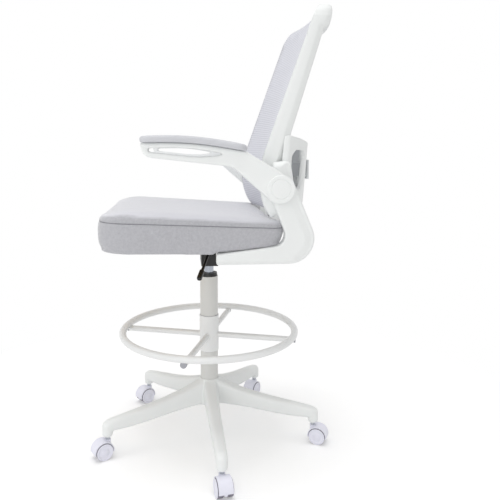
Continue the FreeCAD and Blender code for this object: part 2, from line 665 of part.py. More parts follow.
def make_caster(number):
    """Stem, hood, axle and two wheels of one caster, drawn with the trail along +X."""
    bearing = value("base_turn") + (number - 1) * 360 / len(CASTERS)
    away = Rotation(Vector(0, 0, 1), bearing)
    heading = Rotation(Vector(0, 0, 1), bearing + value(f"heading_{number}"))
    place = Placement(away.multVec(Vector(value("foot_circle"), 0, 0)), heading)
    axle_place = Placement(Vector(value("caster_trail"), 0, value("wheel_radius")),
                           Rotation(Vector(1, 0, 0), 90))
    inside = "(web_width / 2 + wheel_gap)"
    outside = f"({inside} + wheel_width)"
    across = Vector(0, 1, 0)
    middle = Vector(value("caster_trail"), 0, value("wheel_radius"))
    tag = f"caster_{number}"

    stem_low = f"(wheel_radius + sqrt(pow({HOOD}, 2) - pow(caster_trail, 2)) - stem_root)"
    stem_top = "(socket_bottom + socket_depth - stem_clear)"
    collar_low = "(socket_bottom - stem_collar_height)"
    journal = "(stem_radius - running_fit)"
    turned_piece(f"caster_stem_{number}",
                 [("0", stem_low), ("stem_radius", stem_low), ("stem_radius", collar_low),
                  ("stem_collar", collar_low), ("stem_collar", "socket_bottom - running_fit"),
                  (journal, "socket_bottom - running_fit"), (journal, stem_top), ("0", stem_top)], place)

    half_hood = f"({outside} - hood_set_back)"
    shell = cylinder(f"{tag}_shell", HOOD, f"2 * {half_hood}", middle - across * value(half_hood), across)
    space = cylinder(f"{tag}_space", TREAD, f"2 * {outside}", middle - across * value(outside), across)
    low = box(f"{tag}_low", ("-wheel_radius", f"-{outside}", "-wheel_radius"),
              ("3 * wheel_radius", outside, "wheel_radius - hood_skirt"))
    fender = cut(f"{tag}_open", cut(f"{tag}_fender", shell, space), low)
    web = cylinder(f"{tag}_web", f"{TREAD} + hood_wall / 2", "web_width",
                   middle - across * value("web_width / 2"), across)
    web_low = box(f"{tag}_web_low", ("-wheel_radius", "-web_width", "-wheel_radius"),
                  ("3 * wheel_radius", "web_width", "wheel_radius - web_skirt"))
    neck = cylinder(f"{tag}_neck", "stem_radius + neck_wall", "socket_bottom - neck_gap - wheel_radius",
                    Vector(0, 0, value("wheel_radius")))
    clear = cylinder(f"{tag}_clear", TREAD, f"2 * {outside}", middle - across * value(outside), across)
    solid = fuse(f"{tag}_solid", [fender, cut(f"{tag}_rib", web, web_low), cut(f"{tag}_boss", neck, clear)])
    stem_hole = cylinder(f"{tag}_stem_hole", "stem_radius", "socket_bottom", Vector(0, 0, value(stem_low)))
    axle_hole = cylinder(f"{tag}_axle_hole", "axle_radius", "web_width * 2",
                         middle - across * value("web_width"), across)
    holes = fuse(f"{tag}_holes", [stem_hole, axle_hole])
    keep(cut(f"caster_hood_{number}", solid, holes), f"caster_hood_{number}", place)

    half_axle = f"({outside} - axle_cover)"
    axle = cylinder(f"caster_axle_{number}", "axle_radius", f"2 * {half_axle}",
                    middle - across * value(half_axle), across)
    keep(axle, f"caster_axle_{number}", place.multiply(axle.Placement))

    bore = "(axle_radius + running_fit)"
    bore_end = f"({half_axle} + wheel_gap)"
    dish = f"({outside} - wheel_dish)"
    for letter, side in WHEELS.items():
        wheel = turned_piece(
            f"caster_wheel_{number}{letter}",
            [(bore, inside), ("wheel_radius", inside, "tread_round"),
             ("wheel_radius", outside, "tread_round"), ("wheel_radius - wheel_rim", outside),
             ("wheel_radius - wheel_rim - wheel_dish", dish),
             ("wheel_boss + wheel_dish", dish), ("wheel_boss", outside), ("0", outside), ("0", bore_end),
             (bore, bore_end)])
        flip = Rotation() if side > 0 else Rotation(Vector(1, 0, 0), 180)
        wheel.Placement = place.multiply(axle_place).multiply(Placement(Vector(), flip))


def make_column():
    """Column tube with its bush, thrust bearing, piston rod, gas cylinder and release button."""
    bore = "(column_radius - column_wall)"
    foot = "(column_radius - column_taper)"
    hole = "(rod_radius + rod_hole_gap)"
    turned_piece("column_tube",
                 [(hole, "hub_bottom"), (foot, "hub_bottom"), ("column_radius", "hub_top"),
                  ("column_radius", COLUMN_TOP), (bore, COLUMN_TOP), (bore, "hub_top"),
                  (f"{foot} - column_wall", COLUMN_PLATE), (hole, COLUMN_PLATE)])
    turned_piece("column_bush",
                 [("cylinder_radius + running_fit", f"{COLUMN_TOP} - bush_length"),
                  (bore, f"{COLUMN_TOP} - bush_length"), (bore, COLUMN_TOP),
                  ("column_radius - bush_step", COLUMN_TOP),
                  ("column_radius - bush_step - bush_taper", BUSH_TOP),
                  ("cylinder_radius + running_fit", BUSH_TOP)])
    bearing_top = f"({COLUMN_PLATE} + bearing_height)"
    turned_piece("thrust_bearing",
                 [("rod_radius + running_fit", COLUMN_PLATE), ("bearing_radius", COLUMN_PLATE, "turned_edge"),
                  ("bearing_radius", bearing_top, "turned_edge"), ("rod_radius + running_fit", bearing_top)])
    rod_top = f"({COLUMN_PLATE} + rod_length)"
    flange_top = f"({bearing_top} + rod_flange_height)"
    piston = "(cylinder_radius - cylinder_wall - running_fit)"
    turned_piece("piston_rod",
                 [("0", "hub_bottom"), ("rod_radius", "hub_bottom"), ("rod_radius", bearing_top),
                  ("rod_radius + rod_flange", bearing_top), ("rod_radius + rod_flange", flange_top),
                  ("rod_radius", flange_top), ("rod_radius", f"{rod_top} - piston_height"),
                  (piston, f"{rod_top} - piston_height"), (piston, rod_top), ("0", rod_top)])
    inside = "(cylinder_radius - cylinder_wall)"
    cavity_top = f"({CYLINDER_TOP} - button_length + button_rise + button_room)"
    turned_piece("gas_cylinder",
                 [("rod_radius + running_fit", CYLINDER_LOW),
                  ("cylinder_radius", CYLINDER_LOW, "turned_edge"),
                  ("cylinder_radius", SOCKET_LOW), ("cylinder_radius - cylinder_neck", CYLINDER_TOP),
                  ("button_radius + running_fit", CYLINDER_TOP),
                  ("button_radius + running_fit", cavity_top), (inside, cavity_top),
                  (inside, f"{CYLINDER_LOW} + gland_height"),
                  ("rod_radius + running_fit", f"{CYLINDER_LOW} + gland_height")])
    button_top = f"({CYLINDER_TOP} + button_rise)"
    turned_piece("release_button",
                 [("0", f"{button_top} - button_length"), ("button_radius", f"{button_top} - button_length"),
                  ("button_radius", button_top, "turned_edge"), ("0", button_top)])


def make_foot_ring():
    """Ring, four spokes with end plugs, and the collar and grip sleeve on the column."""
    level = Placement(Vector(0, 0, value("ring_height")),
                      Rotation(Vector(0, 0, 1), value("ring_turn")))
    ring = doc.addObject("Part::Torus", "foot_ring")
    bind(ring, "Radius1", "ring_radius")
    bind(ring, "Radius2", "ring_tube")
    keep(ring, "foot_ring", level)

    half = "(collar_height / 2)"
    inner = "(column_radius + running_fit + sleeve_wall)"
    low = Placement(Vector(0, 0, value("ring_height - collar_drop")), Rotation())
    turned_piece("foot_ring_collar", [(inner, f"-{half}"), (COLLAR_OUT, f"-{half}"),
                                      (COLLAR_OUT, half), (inner, half)], low)
    bore = "(column_radius + running_fit)"
    end = f"({half} + sleeve_lip)"
    sleeve = [(bore, f"-{end}"), (inner, f"-{end}"), (inner, end), (bore, end)]
    turned_piece("foot_ring_sleeve", sleeve, low)

    tubes = []
    plugs = []
    for quarter in range(4):
        turn = Rotation(Vector(0, 0, 1), 90 * quarter)
        reach = turn.multVec(Vector(1, 0, 0))
        drop = Vector(0, 0, -value("spoke_drop"))
        tubes.append(cylinder(f"spoke_{quarter}", "spoke_radius", SPOKE_END, drop, reach))
        plugs.append(cylinder(f"plug_{quarter}", "spoke_radius + plug_lip", "plug_length",
                              drop + reach * value(SPOKE_END), reach))
    core = cylinder("spoke_core", COLLAR_OUT, "4 * spoke_radius",
                    Vector(0, 0, -value("spoke_drop + 2 * spoke_radius")))
    rim = doc.addObject("Part::Torus", "spoke_saddle")
    bind(rim, "Radius1", "ring_radius")
    bind(rim, "Radius2", "ring_tube")
    spokes = cut("foot_ring_spokes", fuse("spoke_tubes", tubes), fuse("spoke_cuts", [core, rim]))
    keep(spokes, "foot_ring_spokes", level)
    caps = cut("foot_ring_plugs", fuse("plug_ends", plugs), rim)
    keep(caps, "foot_ring_plugs", level)


def make_mechanism():
    """Housing with its taper socket and plate, and the lift lever with its grip and pin."""
    floor = "(housing_lip - housing_height)"
    half_w = "(housing_width / 2)"
    half_d = "(housing_depth / 2)"
    wall = "housing_wall"
    level = lever_height()
    shell = box("housing_shell", (f"-{half_w}", f"-{half_d}", floor), (half_w, half_d, f"-{wall}"))
    room = box("housing_room", (f"{wall} - {half_w}", f"{wall} - {half_d}", f"{floor} + {wall}"),
               (f"{half_w} - {wall}", f"{half_d} - {wall}", f"-{wall}"))
    plate = box("housing_plate", ("-mount_plate_width / 2", "-mount_plate_depth / 2", f"-{wall}"),
                ("mount_plate_width / 2", "mount_plate_depth / 2", "0"))
    tube = cylinder("housing_tube", "cylinder_radius + socket_wall", "housing_taper",
                    Vector(0, 0, -value("housing_height")))
    solid = fuse("housing_solid", [cut("housing_box", shell, room), plate, tube])

    taper = doc.addObject("Part::Cone", "housing_taper")
    bind(taper, "Radius1", "cylinder_radius")
    bind(taper, "Radius2", "cylinder_radius - cylinder_neck")
    bind(taper, "Height", "housing_taper")
    bind(taper, "Placement.Base.z", "-housing_height")
    slot_half = "(lever_radius + lever_slot_gap)"
    slot = box("lever_slot", (f"{half_w} - 2 * {wall}", f"-{slot_half}", f"{level} - 2 * {slot_half}"),
               (f"{half_w} + {wall}", slot_half, f"{level} + 2 * {slot_half}"))
    pin_seat = Vector(value("lever_pin_x"), -value(half_d), value(level))
    across = Vector(0, 1, 0)
    pin_bore = cylinder("lever_pin_bore", "lever_pin_radius", "housing_depth", pin_seat, across)
    bolt_holes = [cylinder(f"plate_hole_{index}", "bolt_radius", f"{wall}", Vector(x, y, -value(wall)))
                  for index, (x, y) in enumerate(mount_bolts())]
    housing = cut("mechanism_housing", solid, fuse("housing_cuts", [taper, slot, pin_bore] + bolt_holes))
    at_seat(keep(housing, "mechanism_housing"))

    lift = Vector(0, 0, value(SEAT_LEVEL))
    keep(cylinder("lever_pin", "lever_pin_radius", "housing_depth", pin_seat + lift, across), "lever_pin")

    start = Vector(-value("button_radius"), 0, value(level))
    bend = Vector(value(f"{half_w} + lever_straight"), 0, value(level))
    end = Vector(value("lever_reach"), -value("lever_sweep"), value(f"{level} - lever_drop"))
    rod = bent_tube([start, bend, end], value("lever_radius"), value("lever_bend"))
    hinge_radius = value("lever_pin_radius + running_fit")
    hinge = Part.makeCylinder(hinge_radius, value("housing_depth"), pin_seat, across)
    at_seat(coded("lift_lever", rod.cut(hinge)))

    grip = new_body("lever_grip")
    outline = sketch_on(grip, "XY_Plane")
    draw_outline(outline, rounded_block("grip_length / 2", "grip_width / 2", "grip_corner",
                                        ("grip_length / 2", "0")))
    pad(grip, outline, "grip_thickness", symmetric=True)
    rim = value("grip_thickness / 2")
    dress(grip, "Fillet", "grip_edge", lambda point: abs(abs(point.z) - rim) < TOUCH)
    hole = sketch_on(grip, "YZ_Plane")
    draw_circle(hole, "0", "0", "lever_radius")
    pocket(grip, hole, "grip_socket", against=True)
    run = (end - bend).normalize()
    mouth = end - run * value("grip_socket") + lift
    keep(grip, "lever_grip", Placement(mouth, Rotation(Vector(1, 0, 0), run)))


def lever_height():
    """Return the formula for the lever's height under the seat: it rests on the release button."""
    return "(housing_taper + button_rise + lever_radius + running_fit - housing_height)"


def mount_bolts():
    """Return the places of the four bolts that hold the housing to the seat board."""
    x = value("mount_bolt_x")
    y = value("mount_bolt_y")
    return [(x, y), (-x, y), (x, -y), (-x, -y)]


def bent_tube(points, radius, bend):
    """Return a round rod along straight runs joined by one tangent arc at each inner point."""
    edges = []
    start = points[0]
    for before, corner, after in zip(points, points[1:], points[2:]):
        first, middle, last = round_corner(before, corner, after, bend)
        edges.append(Part.LineSegment(start, first).toShape())
        edges.append(Part.Arc(first, middle, last).toShape())
        start = last
    edges.append(Part.LineSegment(start, points[-1]).toShape())
    path = Part.Wire(edges)
    direction = (points[1] - points[0]).normalize()
    circle = Part.Wire([Part.Circle(points[0], direction, radius).toShape()])
    return path.makePipeShell([circle], True, False)


def seat_layers():
    """Return height, inset, rear and slope of each outline of the cushion, from its underside up."""
    layers = []
    for turn in (0, 30, 60, 90):
        layers.append((f"seat_hem * (1 - cos({turn}))",
                       f"seat_draw_in + seat_hem_reach * (1 - sin({turn}))", "0"))
    layers.append(("seat_waist", "seat_draw_in", "seam_slope * seat_waist / seat_seam"))
    for turn in (0, 18, 36, 54, 72, 90):
        layers.append((f"seat_seam + (seat_crown - seat_seam) * sin({turn})",
                       f"seat_crown_reach * (1 - cos({turn}))",
                       f"seam_slope + (seat_slope - seam_slope) * sin({turn})"))
    return layers


def make_seat():
    """Seat board and the upholstered cushion with a crowned top and drawn-in sides."""
    body = new_body("seat_cushion")
    sections = []
    for height, inset, slope in seat_layers():
        sketch = sketch_on(body, "XY_Plane", height)
        sketch.AttachmentOffset = Placement(sketch.AttachmentOffset.Base,
                                            Rotation(Vector(1, 0, 0), -value(slope)))
        half_width = f"(seat_half_width - ({inset}))"
        front = f"(({inset}) - seat_front)"
        rear = f"(seat_rear - ({inset}))"
        if value(height) < value("seat_seam"):
            share = f"(1 - ({height}) / seat_seam)"
            rear = f"(seat_rear - seat_rear_reach * (1 - sqrt(1 - pow({share}, 2))))"
        draw_outline(sketch, [(f"-{half_width}", front, "seat_corner"), (half_width, front, "seat_corner"),
                              (half_width, rear, "seat_rear_corner"),
                              (f"-{half_width}", rear, "seat_rear_corner")])
        sections.append(sketch)
    loft(body, sections, ruled=True)
    board_outline = rounded_block("board_half_width", "(board_rear + board_front) / 2", "board_corner",
                                  ("0", "(board_rear - board_front) / 2"))
    recess = sketch_on(body, "XY_Plane")
    draw_outline(recess, board_outline)
    pocket(body, recess, "board_thickness", against=True)
    for side in SIDES.values():
        inner = f"({BRACKET_IN} - seat_gap)"
        notch = sketch_on(body, "YZ_Plane", f"{side} * {inner}")
        draw_outline(notch, [("bracket_tip - seat_gap", "-bracket_depth"), ("bracket_heel", "-bracket_depth"),
                             ("bracket_heel", "bracket_neck"),
                             ("bracket_head_front - seat_relief", "bracket_neck"),
                             ("bracket_throat - seat_relief", "bracket_throat_rise + seat_relief",
                              "bracket_throat_radius"),
                             ("bracket_tip - seat_gap", "2 * seat_gap - bracket_tip_drop")])
        pocket(body, notch, f"seat_half_width - {inner}", against=side > 0)
    at_seat(keep(body, "seat_cushion"))

    board = new_body("seat_board")
    plank = sketch_on(board, "XY_Plane")
    draw_outline(plank, board_outline)
    pad(board, plank, "board_thickness")
    holes = sketch_on(board, "XY_Plane")
    for x, y in (("mount_bolt_x", "mount_bolt_y"), ("-mount_bolt_x", "mount_bolt_y"),
                 ("mount_bolt_x", "-mount_bolt_y"), ("-mount_bolt_x", "-mount_bolt_y")):
        draw_circle(holes, x, y, "bolt_radius")
    for x, y in bracket_bolts():
        draw_circle(holes, x, y, "bolt_radius")
    pocket(board, holes, BOLT_LENGTH, against=True)
    at_seat(keep(board, "seat_board"))


def bracket_bolts():
    """Return formulas for the places of the four bolts that hold the brackets to the seat board."""
    x = f"({BRACKET_IN} - tab_reach / 2)"
    places = []
    for share in ("0.28", "0.72"):
        y = f"bracket_tip + tab_length * {share}"
        places += [(x, y), (f"-{x}", y)]
    return places


def make_bolts(label, places, grip):
    """Make a group of bolts that point up, with their heads below a clamped thickness."""
    bolts = []
    for index, (x, y) in enumerate(places):
        shank = cylinder(f"{label}_shank_{index}", "bolt_radius", f"{BOLT_LENGTH} + {grip}",
                         Vector(x, y, -value(grip)))
        head = cylinder(f"{label}_head_{index}", "bolt_head", "bolt_head_height",
                        Vector(x, y, -value(f"{grip} + bolt_head_height")))
        bolts.append(fuse(f"{label}_{index}", [shank, head]))
    group = doc.addObject("Part::Compound", label)
    group.Links = bolts
    at_seat(keep(group, label))


def make_bracket(label, side):
    """One hook-shaped bracket from under the seat, round its rear end, up to the arm pivot."""
    body = new_body(label)
    near = BRACKET_IN if side > 0 else f"-{BRACKET_OUT}"
    profile = sketch_on(body, "YZ_Plane", near)
    draw_outline(profile, [
        ("bracket_tip", "-bracket_depth"),
        ("bracket_heel", "-bracket_depth", "bracket_heel_radius"),
        ("bracket_head_rear + bracket_shoulder_reach", "bracket_head - bracket_shoulder", "bracket_bend"),
        ("bracket_head_rear", "bracket_head", "bracket_head_round"),
        ("bracket_head_front", "bracket_head - bracket_head_fall"),
        ("bracket_head_front", "bracket_neck", "bracket_bend"),
        ("bracket_throat", "bracket_throat_rise", "bracket_throat_radius"),
        ("bracket_tip", "-bracket_tip_drop")])
    pad(body, profile, "bracket_thickness")
    foot = sketch_on(body, "XY_Plane", "-tab_thickness")
    tab_x = f"{BRACKET_IN} - tab_reach"
    root_x = f"{BRACKET_IN} + tab_thickness / 2"
    low, high = (tab_x, root_x) if side > 0 else (f"-({root_x})", f"-({tab_x})")
    tab_end = "bracket_tip + tab_length"
    draw_outline(foot, [(low, "bracket_tip"), (high, "bracket_tip"), (high, tab_end), (low, tab_end)])
    pad(body, foot, "tab_thickness")
    holes = sketch_on(body, "XY_Plane", "-tab_thickness")
    for x, y in bracket_bolts():
        if (value(x) > 0) == (side > 0):
            draw_circle(holes, x, y, "bolt_radius")
    pocket(body, holes, "tab_thickness", against=True)
    bore = sketch_on(body, "YZ_Plane", near)
    draw_circle(bore, "pivot_reach", "pivot_rise", "pivot_radius")
    pocket(body, bore, "bracket_thickness", against=True)
    face = value(BRACKET_OUT)
    heel = value("bracket_throat")
    neck = value("bracket_neck")
    dress(body, "Chamfer", "bracket_bevel",
          lambda point: abs(abs(point.x) - face) < TOUCH and point.y > heel and point.z < neck)
    return at_seat(keep(body, label))


def back_curve():
    """Return the middle of the lumbar curve, the recline direction's normal and the top corner."""
    lean = math.radians(value("back_recline"))
    normal = Vector(0, math.cos(lean), -math.sin(lean))
    radius = value("back_lumbar_radius")
    middle = Vector(0, value("back_lumbar_front") + radius, value("back_lumbar"))
    rise = value("back_top - back_lumbar")
    top = Vector(0, middle.y - (radius - rise * math.sin(lean)) / math.cos(lean), value("back_top"))
    return middle, normal, top


def back_strip(across, front, depth, top_depth):
    """Return a side outline of the back at one distance across, between two depths from its front curve."""
    middle, normal, top = back_curve()
    radius = value("back_lumbar_radius")
    low = value("back_lumbar - back_bottom")
    bow = value("back_bow") * (1 - (across / value(BRACKET_IN)) ** 2)
    shift = Vector(across, bow, 0)
    rise = 1 / math.cos(math.radians(value("back_recline")))

    def side(depth_low, depth_high):
        size = radius - depth_low
        bottom_angle = math.asin(low / radius)
        upper = middle - normal * size
        waist = middle - Vector(0, size, 0)
        bottom = middle + Vector(0, -size * math.cos(bottom_angle), -size * math.sin(bottom_angle))
        head = top + Vector(0, depth_high * rise, 0)
        return [point + shift for point in (head, upper, waist, bottom)]

    face = side(front, front)
    rear = side(depth, top_depth)
    edges = [Part.LineSegment(face[0], face[1]).toShape(), Part.Arc(face[1], face[2], face[3]).toShape(),
             Part.LineSegment(face[3], rear[3]).toShape(), Part.Arc(rear[3], rear[2], rear[1]).toShape(),
             Part.LineSegment(rear[1], rear[0]).toShape(), Part.LineSegment(rear[0], face[0]).toShape()]
    return Part.Wire(edges)


def back_slab(half_width, front, depth, top_depth):
    """Return the bowed slab of the back between two depths from its front curve."""
    shares = (-1, -0.5, 0, 0.5, 1)
    wires = [back_strip(half_width * share, front, depth, top_depth) for share in shares]
    return Part.makeLoft(wires, True, False)


def upright_prism(half_width, low, high, corner):
    """Return a tall rounded block that passes through the back from front to rear."""
    depth = 2 * value("bracket_heel")
    block = Part.makeBox(2 * half_width, 2 * depth, high - low, Vector(-half_width, -depth, low))
    corners = [edge for edge in block.Edges if abs(edge.tangentAt(edge.FirstParameter).y) > 0.9]
    return block.makeFillet(corner, corners)


def make_back():
    """Back frame, hollow between its uprights, with the mesh panel over its front."""
    half = value(BRACKET_IN)
    rail = value("back_rail")
    low = value("back_bottom - back_trim")
    high = value("back_top")
    slab = back_slab(half, 0, value("back_depth"), value("back_top_depth"))
    outline = upright_prism(half, low, high, value("back_corner"))
    window = upright_prism(half - value("back_post"), value("back_bottom") + rail, high - rail,
                           value("back_window_corner"))
    blank = slab.cut(window)
    rear_edges = [edge for edge in blank.Edges if is_rear_rim(edge, half)]
    frame = blank.makeChamfer(value("back_bevel"), rear_edges).common(outline)
    at_seat(coded("back_frame", solid_of(frame)))

    inset = value("mesh_inset")
    gap = value("seat_gap")
    thickness = value("mesh_thickness")
    panel = back_slab(half, -gap - thickness, -gap, -gap)
    bottom = value("back_bottom") + 2 * inset
    trim = upright_prism(half - inset, bottom, high - inset, value("back_corner") - inset)
    at_seat(coded("back_mesh", solid_of(panel.common(trim))))


def is_rear_rim(edge, half):
    """Tell whether an edge lies on the outer rear rim of the reclined part of an upright."""
    middle, normal, top = back_curve()
    if any(abs(abs(point.x) - half) > TOUCH for point in edge.discretize(5)):
        return False
    point = edge.discretize(3)[1]
    front = top.y - (top.z - point.z) * math.tan(math.radians(value("back_recline")))
    is_long = edge.Length > value("back_rail")
    return is_long and point.z > middle.z and point.y - front > value("back_top_depth")


def solid_of(shape):
    """Return the single solid of a shape."""
    if len(shape.Solids) != 1:
        raise ValueError(f"{len(shape.Solids)} solids where one was expected")
    return shape.Solids[0]


def make_yoke():
    """Bowed yoke behind the back that joins the brackets and carries the lumbar support."""
    centre = Vector(0, value("yoke_reach - yoke_radius"), value("yoke_bottom"))
    outer = cylinder("yoke_outer", "yoke_radius", "yoke_height", centre)
    inner = cylinder("yoke_inner", "yoke_radius - yoke_wall", "yoke_height", centre)
    reach = box("yoke_reach", (f"-{BRACKET_IN}", "pivot_reach", "yoke_bottom"),
                (BRACKET_IN, "yoke_reach + yoke_wall", "yoke_bottom + yoke_height"))
    band = common("yoke_band", [cut("yoke_ring", outer, inner), reach])

    windows = new_body("yoke_windows")
    openings = sketch_on(windows, "XZ_Plane", "-yoke_reach - yoke_room")
    for x in ("yoke_window_x", "-yoke_window_x"):
        draw_outline(openings, rounded_block("yoke_window_width / 2", "yoke_window_height / 2",
                                             "yoke_window_corner", (x, YOKE_MIDDLE)))
    slot_half = "lumbar_neck / 2 + lumbar_travel + yoke_slot_end"
    draw_outline(openings, rounded_block("yoke_slot_width / 2", slot_half, "yoke_slot_corner",
                                         ("0", YOKE_MIDDLE)))
    edge = "(yoke_bottom + yoke_height)"
    above = f"{edge} + yoke_room"
    draw_outline(openings, [(f"-{BRACKET_IN}", edge), ("0", f"{edge} - yoke_dip", "yoke_dip_radius"),
                            (BRACKET_IN, edge), (BRACKET_IN, above), (f"-{BRACKET_IN}", above)])
    pad(windows, openings, "yoke_reach + yoke_room")
    blank = cut("yoke_blank", band, windows)
    pivot = Vector(0, value("yoke_reach"), value("yoke_bottom + yoke_height"))
    lean = Rotation(Vector(1, 0, 0), -value("yoke_lean"))
    blank.Placement = Placement(pivot - lean.multVec(pivot), lean)
    doc.recompute()
    frame = next(item for item in pieces if item.Label == "back_frame")
    trim = doc.addObject("Part::Feature", "yoke_trim")
    trim.Shape = frame.Shape.translated(Vector(0, 0, -value(SEAT_LEVEL)))
    at_seat(keep(cut("back_yoke", blank, trim), "back_yoke"))


def make_lumbar():
    """Lumbar pad behind the mesh and the carrier that slides in the yoke's slot."""
    face = value("back_lumbar_front + back_bow + lumbar_clear")
    radius = value(f"{BRACKET_IN} * {BRACKET_IN} / (2 * back_bow) + back_bow / 2")
    centre = Vector(0, face - radius, value(f"{YOKE_MIDDLE} - lumbar_height / 2"))
    shell = cylinder("lumbar_outer", f"{radius} + lumbar_wall", "lumbar_height", centre)
    hollow = cylinder("lumbar_hollow", f"{radius}", "lumbar_height", centre)
    limits = new_body("lumbar_limits")
    outline = sketch_on(limits, "XZ_Plane")
    draw_outline(outline, rounded_block("lumbar_width / 2", "lumbar_height / 2", "lumbar_corner",
                                        ("0", YOKE_MIDDLE)))
    pad(limits, outline, "2 * yoke_reach", symmetric=True)
    half_space = box("lumbar_space", ("-lumbar_width", "0", f"{YOKE_MIDDLE} - lumbar_height"),
                     ("lumbar_width", "yoke_reach", f"{YOKE_MIDDLE} + lumbar_height"))
    panel = common("lumbar_pad", [cut("lumbar_shell", shell, hollow), limits, half_space])
    at_seat(keep(panel, "lumbar_pad"))

    plate = "(lumbar_plate / 2)"
    half_neck = "(yoke_slot_width / 2 - slide_gap)"
    tail = "(yoke_reach + plate_gap)"
    neck = box("lumbar_neck", (f"-{half_neck}", f"{face} + lumbar_wall", f"{YOKE_MIDDLE} - lumbar_neck / 2"),
               (half_neck, tail, f"{YOKE_MIDDLE} + lumbar_neck / 2"))
    rear = box("lumbar_rear", (f"-{plate}", tail, f"{YOKE_MIDDLE} - {plate}"),
               (plate, f"{tail} + lumbar_plate_wall", f"{YOKE_MIDDLE} + {plate}"))
    at_seat(keep(fuse("lumbar_carrier", [neck, rear]), "lumbar_carrier"))


def arm_top_line(rise):
    """Return the corners of a line at some height over an arm's top edge, from its rear to its front."""
    return [("arm_rear", f"arm_top - arm_fall + {rise}"),
            ("-arm_knuckle", f"arm_top + arm_knuckle_rise + {rise}", f"arm_arc + {rise}"),
            ("-arm_front", f"arm_top + {rise}")]


def make_arm(label, side):
    """One flip-up arm: a loop under the pad that runs down to the pivot hub."""
    body = new_body(label)
    near = ARM_IN if side > 0 else f"-{ARM_OUT}"
    profile = sketch_on(body, "YZ_Plane", near)
    rear_top, bend, front_top = arm_top_line("0")
    corner = "arm_hub * sqrt(2)"
    draw_outline(profile, [
        (*front_top, "arm_nose_round"),
        ("arm_belly_set_back - arm_front", "arm_belly_front", "arm_belly_round"),
        ("arm_belly_reach", "arm_belly_rear", "arm_elbow_round"),
        ("pivot_reach", f"pivot_rise - {corner}", "arm_hub_round"),
        (f"pivot_reach + {corner}", "pivot_rise", "arm_hub_round"),
        ("pivot_reach - arm_neck_reach", "pivot_rise + arm_neck_rise", "arm_neck_round"),
        ("arm_rear + arm_shoulder", "arm_top - arm_fall - arm_shoulder_drop", "arm_shoulder_round"),
        (*rear_top, "arm_nose_round"),
        bend])
    pad(body, profile, "arm_thickness")
    faces = (value(ARM_IN), value(ARM_OUT))

    def on_side(point):
        return any(abs(abs(point.x) - face) < TOUCH for face in faces)

    dress(body, "Fillet", "arm_edge", on_side)
    doc.recompute()
    outline = body.Tip.Shape.copy()
    loop = sketch_on(body, "YZ_Plane", near)
    ceiling = "(arm_top - arm_bar)"
    draw_outline(loop, [
        ("loop_front - arm_front", ceiling, "loop_round"),
        ("loop_front - arm_front + loop_lean", f"{ceiling} - loop_depth", "loop_round"),
        ("-loop_low", "arm_top - loop_drop", "loop_belly"),
        ("loop_rear", "arm_top - loop_point_drop", "loop_point"),
        ("-arm_knuckle", f"{ceiling} + arm_knuckle_rise", "loop_arc")])
    pocket(body, loop, "arm_thickness", against=True)

    def on_loop(point):
        if not on_side(point):
            return False
        return all(edge.distToShape(Part.Vertex(point))[0] > TOUCH for edge in outline.Edges)

    dress(body, "Fillet", "loop_edge", on_loop)
    bore = sketch_on(body, "YZ_Plane", near)
    draw_circle(bore, "pivot_reach", "pivot_rise", "pivot_radius + running_fit")
    pocket(body, bore, "arm_thickness", against=True)
    seat = sketch_on(body, "YZ_Plane", f"{side} * {ARM_OUT}")
    draw_circle(seat, "pivot_reach", "pivot_rise", "pivot_head + bolt_seat_gap")
    pocket(body, seat, "pivot_head_height + bolt_seat_gap", against=side < 0)
    return at_seat(keep(body, label))


def make_pivot_cap(label, side):
    """Round cover with a ring groove over the shoulder bolt of one arm."""
    cap = turned_piece(label, [
        ("0", "0"), ("cap_radius", "0"), ("cap_radius", "cap_height - cap_bevel"),
        ("cap_radius - cap_bevel", "cap_height"), ("cap_ring + cap_groove", "cap_height"),
        ("cap_ring", "cap_height - cap_groove"), ("cap_ring - cap_groove", "cap_height"),
        ("0", "cap_height + cap_crown")])
    seat = Vector(side * value(ARM_OUT), value("pivot_reach"), value(f"{SEAT_LEVEL} + pivot_rise"))
    cap.Placement = Placement(seat, Rotation(Vector(0, 1, 0), 90 * side))


def make_pivot_bolts():
    """Shoulder bolts that carry the two arms on the brackets."""
    bolts = []
    for label, side in SIDES.items():
        out = Vector(side, 0, 0)
        start = Vector(side * value(BRACKET_IN), value("pivot_reach"), value("pivot_rise"))
        head_seat = ("bracket_thickness + arm_gap + arm_thickness - pivot_head_height"
                     " - bolt_seat_gap + running_fit")
        shank = cylinder(f"pivot_shank_{label}", "pivot_radius", head_seat, start, out)
        head = cylinder(f"pivot_head_{label}", "pivot_head", "pivot_head_height",
                        start + out * value(head_seat), out)
        bolts.append(fuse(f"pivot_bolt_{label}", [shank, head]))
    group = doc.addObject("Part::Compound", "pivot_bolts")
    group.Links = bolts
    at_seat(keep(group, "pivot_bolts"))


